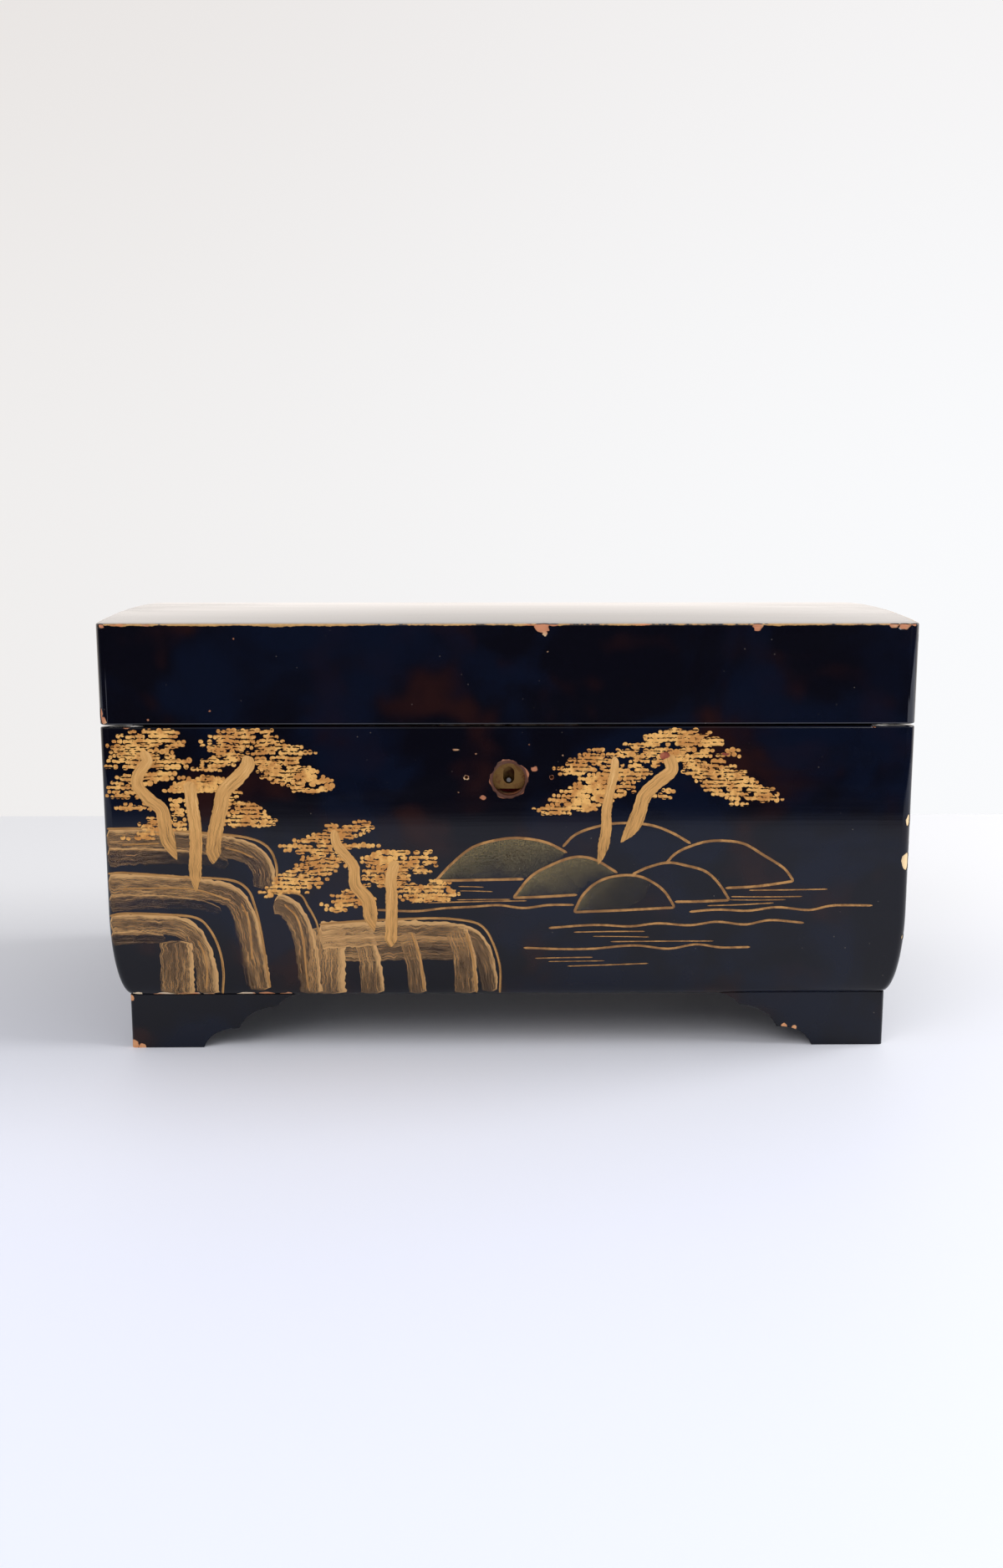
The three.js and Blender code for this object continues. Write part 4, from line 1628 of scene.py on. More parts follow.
@dataclass
class GoldOrnament:
    """The landscape in gold on the front coat: pines, rocks, islands and water.

    Args:
        sizes: the box's sizes.
        lift: how far each layer of paint lies over the one under it.
        paint: thickness of a dab.
        row_pitch: height of a row of dabs.
        dab_pitch: mean spacing of the dabs in a row.
        end_dab: size of the dabs at a row's ends, as a share of the others.
        skipped: share of the dabs that are left out.
        flat_end: how far from the box's side the front starts to turn.
        mesh_width: width of a stroke's faces.
        pads: foliage; each pad has rows of height, left end and right end, and more are filled in.
        trunks: the pines' trunks.
        worn: places where the foliage is rubbed.
        islands: the islands' outlines.
        dusted: powdered islands; outline, base line, and the cover at the left and right end.
        water: the water's lines.
        washes: the rocks' broad strokes.
        rock_lines: the rocks' outlines.
    """

    sizes: BoxSizes
    lift: float = 0.03
    paint: float = 0.05
    row_pitch: float = 1.5
    dab_pitch: float = 1.6
    end_dab: float = 0.72
    skipped: float = 0.07
    flat_end: float = 2.6
    mesh_width: float = 1.6

    pads: tuple[tuple[Triple, ...], ...] = (
        ((110.6, -124.5, -109.5), (109, -128, -109), (107, -131, -106.5), (105, -133, -108),
            (104, -131.5, -111)),
        ((102.5, -131.5, -111), (101, -132, -104), (99, -132.5, -104.5)),
        ((96.5, -127, -109), (94.5, -130.5, -111), (92.5, -132, -121.5), (89, -133, -123.5)),
        ((86.5, -127, -119.5), (85, -130.5, -119.5)),
        ((81, -120.5, -114), (79, -123, -114), (76.5, -123.5, -116.5), (75, -128, -117.5)),
        ((110.6, -95.5, -77.5), (109, -97.5, -76.5), (107, -102.5, -85.5), (105.5, -100.5, -85.5)),
        ((107, -84, -74), (105, -84.5, -67), (103.5, -85.5, -64)),
        ((104, -98, -88), (102.5, -98.5, -88), (100.5, -102, -89.5), (99, -103.5, -90.5),
            (98, -104.5, -96)),
        ((101.5, -85, -69), (100, -84, -68.5), (98, -83.5, -65), (96, -82.5, -62), (94, -78.5, -58.5),
            (92, -73, -56), (91, -71.5, -58.5)),
        ((95, -109, -94), (93, -111.5, -94), (91, -113.5, -94.5)),
        ((90.5, -96.5, -88), (88.5, -96.5, -90)),
        ((86.5, -92, -84.5), (85, -92.5, -82), (83, -93, -80), (81.5, -93.5, -78), (79.5, -94, -77)),
        ((87.5, -112.5, -107), (79.5, -112, -107.5), (78, -111.5, -107)),
        ((80, -51.5, -45.5), (78.5, -61, -45.5), (77, -61.5, -47.5), (75, -68.5, -50.5),
            (74, -71.5, -54.5)),
        ((72, -76, -44), (70.5, -75, -59.5)),
        ((70, -62, -58), (68.5, -68.5, -56.5), (67, -68.5, -55), (65, -71, -55), (63.5, -74.5, -58),
            (62, -77.5, -61), (60, -77.5, -61), (58, -81, -64.5), (56.5, -83.5, -67.5),
            (55, -82.5, -78.5)),
        ((69.5, -45.5, -26), (68.5, -49.5, -25.5), (66.5, -49.5, -24), (65, -46, -24),
            (63.5, -49, -24.5), (62, -48.5, -32.5), (60, -48.5, -33), (58.5, -48, -33)),
        ((59.5, -26, -20), (58, -37.5, -20), (56.5, -37, -17.5), (55, -36.5, -16), (53.5, -35, -19.5)),
        ((56.5, -55.5, -51), (55, -58.5, -51), (53.5, -58.5, -43), (51.5, -63, -50.5),
            (50, -61.5, -54.5)),
        ((110.4, 51, 66.5), (109, 45.5, 66.5), (107, 43.5, 72), (106, 38.5, 72)),
        ((104.5, 27, 36.5), (104, 25.5, 40.5), (102.5, 24, 38)),
        ((101, 21, 36.5), (99.5, 20, 36), (98, 15.5, 34.5), (96.5, 16.5, 25.5)),
        ((104, 37, 68.5), (102, 39, 68), (100.5, 40, 61), (99, 38, 50.5)),
        ((97.5, 28, 50.5), (96, 27.5, 48.5), (94.5, 23, 45.5), (92.5, 22.5, 40.5), (91, 19, 43.5),
            (89, 16, 40.5), (87.5, 14, 35), (85.5, 12.5, 30.5), (84.5, 9, 29), (83, 11, 19.5)),
        ((90.5, 51.5, 55.5), (89, 50, 56), (88.5, 48.5, 54)),
        ((104, 72.5, 77.5), (102.5, 69, 78)),
        ((100, 58.5, 72.5), (99, 59, 73), (97.5, 56.5, 78), (95.5, 60, 80), (94.5, 62, 83),
            (92.5, 64, 83), (91, 65.5, 87.5), (89, 68.5, 91.5), (87.5, 72.5, 91.5), (86, 74, 79)),
    )

    trunks: tuple[Stroke, ...] = (
        Stroke(((-121.5, 104), (-119.5, 101), (-122.5, 96.5), (-123, 92.5), (-119.5, 88),
            (-115.5, 84.5), (-114.5, 79), (-113.5, 73.5), (-111, 67.5)), 3.4, 5.2, (1, 0.72), (1.5, 7)),
        Stroke(((-106, 94), (-105.5, 88.5), (-105, 83.5), (-104.5, 78.5), (-104.5, 73), (-105, 63.5),
            (-105, 56.5)), 4.2, 4.2, (1, 0.72), (1.5, 6)),
        Stroke(((-87.5, 102.5), (-86.5, 99.5), (-89.5, 95.5), (-94.5, 90.5), (-96, 84.5), (-97.5, 78.5),
            (-98.5, 73), (-99, 66)), 4.6, 5.0, (1, 0.72), (2, 4)),
        Stroke(((-58.5, 77.5), (-57.5, 72.5), (-54, 68), (-52, 64.5), (-51.5, 58.5), (-47.5, 53.5),
            (-46.5, 47), (-45.5, 42.5)), 2.8, 5.2, (1, 0.72), (1.5, 6)),
        Stroke(((-38, 67), (-39.5, 61.5), (-39.5, 55.5), (-39.5, 48.5), (-40, 37)), 3.8, 4.2, (1, 0.72),
            (1.5, 2.5)),
        Stroke(((35, 102), (35, 96.5), (33.5, 89.5), (32.5, 83.5), (32.5, 77.5), (31.5, 71),
            (30, 65.5)), 2.6, 4.0, (1, 0.72), (1.5, 6)),
        Stroke(((52.5, 103), (54, 97.5), (49, 93), (45, 88.5), (43.5, 83.5), (41.5, 78.5), (37.5, 73)),
            4.0, 5.2, (1, 0.72), (2, 7)),
    )

    worn: tuple[Stroke, ...] = (
        Stroke(((50.2, 101.7), (51.6, 102.4), (53.4, 102.3)), 2.6, 1.8),
        Stroke(((70.6, 103.0), (72.0, 102.7), (73.2, 102.9)), 0.9, 0.6),
    )

    islands: tuple[tuple[Point, ...], ...] = (
        ((-25, 59.5), (-19, 66), (-12, 71.5), (-3.5, 74), (4, 74.5), (12.5, 73), (19.5, 69.5)),
        ((1.5, 54), (7, 61), (13.5, 65), (22, 68), (29, 67), (36.5, 62.5)),
        ((18, 71.5), (22, 75.5), (28, 78), (36.5, 79.5), (46.5, 79), (54, 76.5), (61, 72.5)),
        ((52.5, 65.5), (56.5, 69.5), (63.5, 72.5), (70, 73.5), (78.5, 72.5), (85.5, 68.5), (92.5, 64),
            (96, 59.5)),
        ((41.5, 62), (47, 64.5), (53.5, 66), (59.5, 65), (66, 63), (70.5, 59), (74.5, 53)),
        ((22, 49), (25, 55), (30, 59.5), (36.5, 61.5), (43, 61.5), (48, 59.5), (52.5, 56), (56, 50.5)),
        ((-25, 60), (-10, 60.2), (5, 60.5)),
        ((1.5, 54), (12, 54.4), (23, 55)),
        ((73, 57.2), (84, 57.8), (96, 59.5)),
        ((56, 52.5), (65, 52.6), (74.5, 53)),
        ((22, 49), (38, 49.6), (56, 50.5)),
    )

    dusted: tuple[tuple[tuple[Point, ...], tuple[Point, ...], Point], ...] = (
        (((-24, 60), (-19, 66), (-12, 71.5), (-3.5, 74), (4, 74.5), (12.5, 73), (19, 69.8)), ((-24, 60),
            (-15, 60.3), (-7, 60.4), (0, 60.5), (5, 61), (10, 63), (18, 68)), (0.9, 0.8)),
        (((2.5, 54.2), (7, 61), (13.5, 65), (22, 68), (29, 67), (36, 62.8)), ((2.5, 54.2), (8, 54.5),
            (14, 54.7), (22, 55.2), (27, 59), (35, 62)), (1, 0.7)),
        (((22.5, 49.2), (25, 55), (30, 59.5), (36.5, 61.5), (43, 61.5), (48, 59.5)), ((22.5, 49.2),
            (28, 49.5), (33, 49.8), (38, 50), (42, 51.5), (46, 54)), (0.9, 0.1)),
    )

    water: tuple[Stroke, ...] = (
        Stroke(((-44.5, 50), (-31.5, 49.5), (-22, 50.5), (-12, 51), (-3.5, 51.5), (5, 50.5),
            (13.5, 51.5), (22, 51.5)), 0.75),
        Stroke(((61, 49), (70.5, 49.7), (81, 49.3), (90.5, 50.5), (101.5, 49.5), (109.5, 51),
            (123, 51)), 0.75),
        Stroke(((13.5, 43.5), (28.5, 44.5), (41, 44), (50.5, 45), (61, 44.3), (70.5, 45.5), (80, 44.5),
            (88.5, 46), (100, 45)), 0.75),
        Stroke(((5, 36.5), (18, 36), (28.5, 36.1), (42.5, 37.2), (54, 36), (63.5, 37.5), (72, 36.4),
            (82, 36.5)), 0.75),
        Stroke(((81, 56.4), (94, 56.5), (107.5, 56.7)), 0.4),
        Stroke(((-27.5, 52.4), (-10, 52.8), (6, 53)), 0.4),
        Stroke(((-17.5, 53.4), (-8, 53.5), (0.5, 53.5)), 0.3),
        Stroke(((-17, 58), (-12, 57.9), (-8.5, 57.7)), 0.3),
        Stroke(((-16.5, 56.5), (-11, 56.4), (-5.5, 56.2)), 0.3),
        Stroke(((75, 54.2), (87, 54.1), (99, 54.2)), 0.4),
        Stroke(((74.5, 53.1), (84, 53), (93.5, 53.1)), 0.3),
        Stroke(((67, 51.1), (78, 51.4), (89.5, 52)), 0.4),
        Stroke(((22, 42), (34, 42.2), (46, 42.2)), 0.4),
        Stroke(((28.5, 40.5), (38, 40.4), (47.5, 40.2)), 0.3),
        Stroke(((34.5, 38.6), (52, 38.7), (69.5, 38.7)), 0.4),
        Stroke(((9, 32.7), (19, 32.9), (28.5, 33)), 0.4),
        Stroke(((13.5, 31.5), (23, 31.6), (32.5, 31.7)), 0.3),
        Stroke(((20, 29.8), (34, 30.2), (47.5, 30.7)), 0.4),
    )

    washes: tuple[Stroke, ...] = (
        Stroke(((-134.2, 74.4), (-121, 74.2), (-102, 72.8), (-91, 71), (-85.4, 68.4), (-82.4, 64),
            (-82, 57.5)), 7.4, 7.4, (1, 0.86)),
        Stroke(((-134.2, 68.2), (-120, 68.6), (-104, 68), (-94, 65.6)), 6.5, 4, (0.86, 0.6)),
        Stroke(((-134.3, 58.8), (-122, 58.8), (-106, 57.8), (-96, 56), (-91.4, 53), (-89, 48),
            (-87.2, 41), (-85.6, 31), (-84.6, 21)), 7.6, 7.2, (1.05, 0.95)),
        Stroke(((-134.3, 52.6), (-118, 53), (-104, 52), (-97, 49.4)), 6, 3, (0.86, 0.6)),
        Stroke(((-90.4, 50), (-89.6, 42), (-88.4, 32), (-87.4, 22)), 5, 4, (0.8, 0.62)),
        Stroke(((-134.3, 45), (-122, 45.2), (-111, 44.2), (-106.6, 41), (-104, 35.6), (-102.6, 28),
            (-103, 19.6)), 7, 7.2, (1.02, 0.98)),
        Stroke(((-134.3, 40.2), (-124, 40.6), (-116, 40)), 5, 3, (0.84, 0.66)),
        Stroke(((-112.4, 39.4), (-112.6, 30), (-113.4, 19.3)), 10.8, 11.4, (0.92, 0.98)),
        Stroke(((-79, 52.4), (-74.6, 51), (-71.4, 46.5), (-69.2, 40), (-68, 30), (-67.6, 19.4)),
            7, 7.4, (1.02, 0.86)),
        Stroke(((-64, 41), (-52, 41.6), (-29, 42.2), (-17, 41.6), (-11.6, 39), (-8.6, 34), (-7, 27),
            (-6.4, 20)), 9.8, 5.4, (1.22, 0.8)),
        Stroke(((-66, 36.6), (-50, 36.4), (-30, 36.6), (-14, 36)), 9.6, 8, (1.0, 0.86)),
        Stroke(((-61.4, 44), (-61.6, 32), (-62, 19.3)), 12, 12.4, (1.16, 1.0)),
        Stroke(((-50, 43.5), (-47.2, 32), (-46.4, 19.3)), 7.2, 7.8, (1.08, 0.92)),
        Stroke(((-34.8, 42), (-32.2, 31), (-31, 19.3)), 5.4, 6, (1.0, 0.9)),
        Stroke(((-18, 43.5), (-15.2, 34), (-14.4, 19.3)), 7.2, 7.8, (1.02, 0.92)),
    )

    rock_lines: tuple[Stroke, ...] = (
        Stroke(((-134, 78), (-121, 78), (-101.5, 76.5), (-88, 75), (-81, 72), (-78, 66), (-78, 57.5)),
            0.8),
        Stroke(((-129, 72.5), (-122, 72.9), (-116.5, 73)), 0.6),
        Stroke(((-95, 71.5), (-90, 70.2), (-85.5, 68)), 0.6),
        Stroke(((-134.4, 62.6), (-128.5, 63), (-110, 61.6), (-94, 60.5), (-88, 57.5), (-85.5, 51.5),
            (-83.5, 41.5), (-81.5, 22)), 0.8),
        Stroke(((-129.5, 57.5), (-107.5, 57.5), (-93.5, 53.5)), 0.6),
        Stroke(((-90, 52.5), (-87.5, 45.5), (-87, 32.5)), 0.6),
        Stroke(((-134.4, 48), (-129.5, 49), (-116, 48.6), (-105.5, 47.5), (-101, 43.5), (-98, 36.5),
            (-97, 28), (-98, 19.5)), 0.8),
        Stroke(((-105, 39.5), (-103, 34), (-102.5, 28), (-103.5, 21.5)), 0.7),
        Stroke(((-78, 56), (-70.5, 55.5), (-67.5, 51), (-65, 46), (-64, 41)), 0.7),
        Stroke(((-75.5, 52), (-71.5, 47.5), (-69.5, 39.5), (-69, 30), (-68.5, 21.5)), 0.7),
        Stroke(((-64, 45), (-52, 46), (-29, 47), (-17, 46.5), (-9.5, 44.5), (-5.5, 38.5), (-3, 29.5),
            (-3, 19.4)), 0.8),
        Stroke(((-33, 42), (-30, 32.5), (-29, 21)), 0.8),
        Stroke(((-14.5, 42), (-12, 31.5), (-11, 19.5)), 0.8),
    )

    def build(self) -> None:
        """Makes every part of the ornament."""
        self._dusting()
        self._strokes("rock_washes", self.washes, WASH_GOLD, 1, 0.9)
        self._strokes("rock_lines", self.rock_lines, LINE_GOLD, 2, 0.7)
        outlines = [Stroke(path, 0.85) for path in self.islands]
        self._strokes("island_outlines", outlines, OUTLINE_GOLD, 3, 0.7)
        self._strokes("water_lines", self.water, OUTLINE_GOLD, 3, 0.8)
        self._foliage()
        self._strokes("pine_trunks", self.trunks, TRUNK_GOLD, 7, 0.6)
        self._strokes("foliage_wear", self.worn, RUBBED_GOLD, 8, 0.5)

    def _surface(self, x: float, z: float, layer: float) -> Vector:
        """A point on the front coat's surface, raised by so many layers of paint.

        Args:
            x: place across.
            z: height.
            layer: layers of paint under it.

        Returns:
            The point in millimetres.
        """
        reach = self.sizes.half_width - self.flat_end - self.sizes.inset(z)
        turn = max(0.0, abs(x) - reach)
        radius = self.sizes.corner_radius
        back = radius - math.sqrt(max(0.0, radius * radius - min(turn, radius) ** 2))
        return Vector((x, self.sizes.front_coat(z) + back - self.lift * (1 + layer), z))

    def _strokes(
        self,
        name: str,
        strokes: Sequence[Stroke],
        finish: Finish,
        layer: float,
        step: float,
    ) -> None:
        """Makes strokes as ribbons on the surface, one piece together.

        Args:
            name: the piece's name.
            strokes: the strokes.
            finish: their finish.
            layer: layers of paint under them.
            step: spacing of the ribbon's stations.
        """
        shape = bmesh.new()
        uv = shape.loops.layers.uv.new("stroke")
        shape.verts.layers.float.new("share")
        shape.verts.layers.float.new("cover")
        places: dict[Vert, Point] = {}
        for number, stroke in enumerate(strokes):
            height = layer + 0.08 * (number % 5)
            places.update(self._ribbon(shape, stroke, height, step, number))
        lay_uv(uv, places)
        bmesh.ops.recalc_face_normals(shape, faces=shape.faces)
        for face in shape.faces:
            face.smooth = True
            if face.normal.y > 0:
                face.normal_flip()
        new_piece(name, shape, finish, Body.BOX)

    def _ribbon(
        self,
        shape: Mesh,
        stroke: Stroke,
        layer: float,
        step: float,
        seed: int,
    ) -> dict[Vert, Point]:
        """Adds one stroke by extruding its first row from station to station.

        Args:
            shape: the bmesh that takes it, with the vertex layers share and cover.
            stroke: the stroke.
            layer: layers of paint under it.
            step: spacing of its stations.
            seed: which unevenness it gets.

        Returns:
            The UV place of each vertex.
        """
        shares = shape.verts.layers.float["share"]
        covers = shape.verts.layers.float["cover"]
        points = curve_through(stroke.path, step)
        spans = [(b - a).length for a, b in zip(points, points[1:])]
        total = sum(spans)
        end_width = stroke.end_width or stroke.width
        across = max(1, round(max(stroke.width, end_width) / self.mesh_width))
        row: list[Vert] = []
        gone = 0.0
        places: dict[Vert, Point] = {}
        for i, point in enumerate(points):
            ahead = points[min(i + 1, len(points) - 1)] - points[max(i - 1, 0)]
            side = Vector((-ahead.y, ahead.x)).normalized()
            share = gone / total
            width = stroke.width + (end_width - stroke.width) * share
            for far, taper, blunt in zip((gone, total - gone), stroke.taper, stroke.blunt):
                width *= min(1.0, (far + 0.12) / taper) ** blunt
            width *= 1 + 0.10 * noise.noise(Vector((gone * 0.5, seed * 5.1, layer)))
            cover = stroke.cover[0] + (stroke.cover[1] - stroke.cover[0]) * share
            row = next_row(shape, row) if row else first_row(shape, across + 1)
            for k, vert in enumerate(row):
                part = k / across
                wobble = 0.06 * noise.noise(Vector((gone * 1.7, part * 3, seed * 3.3)))
                spot = point + side * width * (part - 0.5 + wobble)
                vert.co = self._surface(spot.x, spot.y, layer)
                vert[shares] = part
                vert[covers] = cover
                places[vert] = (gone / 10 + seed * 7.3, part * width / 10 + seed * 1.7)
            if i < len(spans):
                gone += spans[i]
        return places

    def _dusting(self) -> None:
        """Makes the powdered areas of three islands, between an outline and its base line."""
        shape = bmesh.new()
        covers = shape.verts.layers.float.new("cover")
        across, fading = 7, 0.75
        for outline, base, ends in self.dusted:
            top = curve_through(outline, 1.4)
            low = curve_through(base, 0.1)
            last = len(top) - 1
            row: list[Vert] = []
            for i, high_point in enumerate(top):
                low_point = low[round((len(low) - 1) * i / last)]
                side = ends[0] + (ends[1] - ends[0]) * i / last
                row = next_row(shape, row) if row else first_row(shape, across)
                for k, vert in enumerate(row):
                    part = k / (across - 1)
                    spot = high_point.lerp(low_point, part)
                    vert.co = self._surface(spot.x, spot.y, 0)
                    vert[covers] = side * (1 - fading * part)
        bmesh.ops.remove_doubles(shape, verts=shape.verts, dist=0.005)
        for face in shape.faces:
            face.normal_update()
            if face.normal.y > 0:
                face.normal_flip()
        new_piece("island_powder", shape, DUST, Body.BOX)

    def _foliage(self) -> None:
        """Makes the pads of foliage from rows of packed dabs."""
        draw = random.Random(11)
        shape = bmesh.new()
        for rows in self.pads:
            for z, left, right in self._filled(rows):
                x = left + draw.uniform(-0.9, 0.5)
                phase = draw.uniform(0, 6.3)
                while x < right + draw.uniform(-0.3, 0.9):
                    inside = min(x - left, right - x) > self.dab_pitch
                    sway = 0.22 * math.sin(x * 0.8 + phase)
                    if draw.random() > self.skipped:
                        height = z + sway + draw.uniform(-0.34, 0.34)
                        self._dab(shape, x, height, 1.0 if inside else self.end_dab, draw)
                    x += self.dab_pitch * draw.uniform(0.78, 1.2)
        new_piece("pine_foliage", shape, GOLD, Body.BOX)

    def _filled(self, rows: Sequence[Triple]) -> list[Triple]:
        """Rows at the row pitch, between the given ones.

        Args:
            rows: height, left end and right end of the pad's main rows, from the top down.

        Returns:
            The same for every row.
        """
        top, bottom = rows[0][0], rows[-1][0]
        count = max(1, round((top - bottom) / self.row_pitch))
        filled = []
        for i in range(count + 1):
            z = top + (bottom - top) * i / count
            under = max((row for row in rows if row[0] <= z + 1e-6), default=rows[-1])
            over = min((row for row in rows if row[0] >= z - 1e-6), default=rows[0])
            share = 0 if over[0] == under[0] else (z - under[0]) / (over[0] - under[0])
            left = under[1] + (over[1] - under[1]) * share
            right = under[2] + (over[2] - under[2]) * share
            filled.append((z, left, right))
        return filled

    def _dab(self, shape: Mesh, x: float, z: float, size: float, draw: random.Random) -> None:
        """Adds one dab of paint.

        Args:
            shape: the bmesh that takes it.
            x: place across.
            z: height.
            size: its mean radius.
            draw: the source of its unevenness.
        """
        wide = size * draw.uniform(0.84, 1.3)
        high = size * draw.uniform(0.78, 1.06)
        high_end = draw.uniform(0.6, 0.8)
        turn = Matrix.Rotation(math.pi / 2, 4, "X")
        spread = Matrix.Diagonal((wide, 1, high, 1))
        lean = Matrix.Rotation(draw.uniform(-0.3, 0.3), 4, "Y")
        place = Matrix.Translation(self._surface(x, z, 4 + draw.uniform(0, 1)))
        bmesh.ops.create_cone(
            shape,
            cap_ends=True,
            segments=9,
            radius1=1,
            radius2=high_end,
            depth=self.paint,
            matrix=place @ lean @ spread @ turn,
        )


# Lining, tray and rolls


@dataclass
class SoftParts:
    """The velvet linings, ring rolls and ribbons inside.

    Args:
        sizes: the box's sizes.
        velvet: thickness of the velvet on the walls.
        satin: thickness of the ribbons.
        lock_room: half of the width that the walls' velvet leaves to the lock.
        lock_foot: height of the velvet under the lock.
    """

    sizes: BoxSizes
    velvet: float = 1.0
    satin: float = 0.5
    lock_room: float = 18
    lock_foot: float = 89.75

    def build(self) -> None:
        """Makes the soft parts and dresses the tray's boards."""
        for number in range(1, 5):
            self._ring_roll(number)
        self._pad("floor_pad", "floor_lining", Body.BOX, up=True)
        self._pad("lid_pad", "lid_lining", Body.LID, up=False)
        self._wall_velvet()
        for side in ("left", "right"):
            self._ribbon(side)
            dress(f"tray_{side}_wall", RED_VELVET, 0.6, 3)
            dress(f"tray_partition_{side}", RED_VELVET, 0.6, 3)
            dress(f"tray_rest_{side}", STAINED, 0.5, 2)
        for node in ("tray_base", "tray_front_wall", "tray_back_wall", "tray_divider"):
            dress(node, RED_VELVET, 0.6, 3)

    def _ring_roll(self, number: int) -> None:
        """Makes one padded ring roll with a rounded top and a slightly uneven stuffing.

        Args:
            number: which roll, from 1 to 4.
        """
        node = f"ring_roll_{number}"
        low, high = self.sizes.node(node)
        room = Vector((0.2, 0.1, 0))
        top_round, end_round = 6.2, 1.2
        shape = bmesh.new()
        verts = block(shape, low + room, high - room)
        long_top = edges_of(verts, lambda a, b: abs(a.x - b.x) > 1 and a.z > low.z + 1)
        round_edges(shape, long_top, top_round, 7)
        slices(shape, 0, between(low.x, high.x, 48))
        ends = [
            edge
            for edge in shape.edges
            if len(edge.link_faces) == 2
            and edge.calc_face_angle(0) > 1.2
            and all(abs(abs(vert.co.x) - high.x) < 0.5 for vert in edge.verts)
        ]
        round_edges(shape, ends, end_round, 3)
        for vert in shape.verts:
            lift = (vert.co.z - low.z) / (high.z - low.z)
            push = noise.noise(vert.co * 0.045 + Vector((0, number * 9.0, 0)))
            vert.co.z -= max(0.0, lift) * (0.5 + 0.5 * push)
            vert.co.y += 0.12 * noise.noise(vert.co * 0.09) * lift
        made = new_piece(f"velvet_roll_{number}", shape, RED_VELVET, Body.TRAY)
        smooth(made, 50)
        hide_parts(node)

    def _pad(self, name: str, node: str, body: Body, up: bool) -> None:
        """Makes a thin crowned pad in place of a flat lining.

        Args:
            name: the piece's name.
            node: the CAD lining that it replaces.
            body: what it rides on.
            up: whether its soft face looks up.
        """
        low, high = self.sizes.node(node)
        shape = bmesh.new()
        block(shape, low, high)
        for axis, count in ((0, 40), (1, 24)):
            slices(shape, axis, between(low[axis], high[axis], count))
        edge_width, edge_drop, dents = 2.4, 0.45, 0.18
        face_z = high.z if up else low.z
        thick = high.z - low.z
        for vert in shape.verts:
            if abs(vert.co.z - face_z) > 0.01:
                continue
            inside = min(*(vert.co - low).xy, *(high - vert.co).xy)
            dent = dents * (0.5 + 0.5 * noise.noise(vert.co * 0.06))
            drop = (edge_drop * math.exp(-max(0.0, inside) / edge_width) + dent) * thick
            vert.co.z += -drop if up else drop
        made = new_piece(name, shape, RED_VELVET, body)
        smooth(made, 60)
        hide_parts(node)

    def _wall_velvet(self) -> None:
        """Makes the velvet on the four inner walls, with room for the lock."""
        low, high = self.sizes.node("wall_lining")
        thick, lock = self.velvet, self.lock_room
        panels = (
            ((low.x, low.y + thick, low.z), (low.x + thick, high.y - thick, high.z)),
            ((high.x - thick, low.y + thick, low.z), (high.x, high.y - thick, high.z)),
            ((low.x, high.y - thick, low.z), high),
            (low, (-lock, low.y + thick, high.z)),
            ((lock, low.y, low.z), (high.x, low.y + thick, high.z)),
            ((-lock, low.y, low.z), (lock, low.y + thick, self.lock_foot)),
        )
        shape = bmesh.new()
        for start, end in panels:
            verts = block(shape, start, end)
            tops = edges_of(verts, lambda a, b: a.z > end[2] - 0.01 and b.z > end[2] - 0.01)
            round_edges(shape, tops, 0.35, 3)
        made = new_piece("wall_velvet", shape, RED_VELVET, Body.BOX)
        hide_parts("wall_lining")

    def _ribbon(self, side: str) -> None:
        """Makes one pull ribbon: a folded loop glued inside a tray wall.

        Args:
            side: left or right.
        """
        node = f"tray_ribbon_{side}"
        low, high = self.sizes.node(node)
        sign = -1 if side == "left" else 1
        thick = self.satin
        wall_x = (high.x if side == "right" else -low.x) - thick / 2
        inner_x = (low.x if side == "right" else -high.x) + thick / 2
        middle, radius = (wall_x + inner_x) / 2, (wall_x - inner_x) / 2
        top = high.z - thick / 2
        path = [Vector((wall_x, low.z + 0.5)), Vector((wall_x, (low.z + top - radius) / 2))]
        steps = 12
        for i in range(steps + 1):
            angle = math.pi * i / steps
            arc = Vector((math.cos(angle), math.sin(angle))) * radius
            path.append(Vector((middle, top - radius)) + arc)
        path += [Vector((inner_x + 1.2, (low.z + top) / 2)), Vector((inner_x + 2.6, low.z + 1.0))]
        points = curve_through([tuple(point) for point in path], 0.6)
        shape = bmesh.new()
        uv = shape.loops.layers.uv.new("weave")
        places: dict[Vert, Point] = {}
        row: list[Vert] = []
        across, length, before = 4, 0.0, points[0]
        for point in points:
            length += (point - before).length
            row = next_row(shape, row) if row else first_row(shape, across + 1)
            for k, vert in enumerate(row):
                vert.co = (sign * point.x, low.y + (high.y - low.y) * k / across, point.y)
                places[vert] = (length / 10, k / across * 1.2)
            before = point
        lay_uv(uv, places)
        bmesh.ops.recalc_face_normals(shape, faces=shape.faces)
        made = new_piece(f"pull_ribbon_{side}", shape, SATIN, Body.TRAY)
        smooth(made)
        wall = made.modifiers.new("thickness", "SOLIDIFY")
        wall.thickness = thick * MM
        wall.offset = 0
        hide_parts(node)
        length * MM


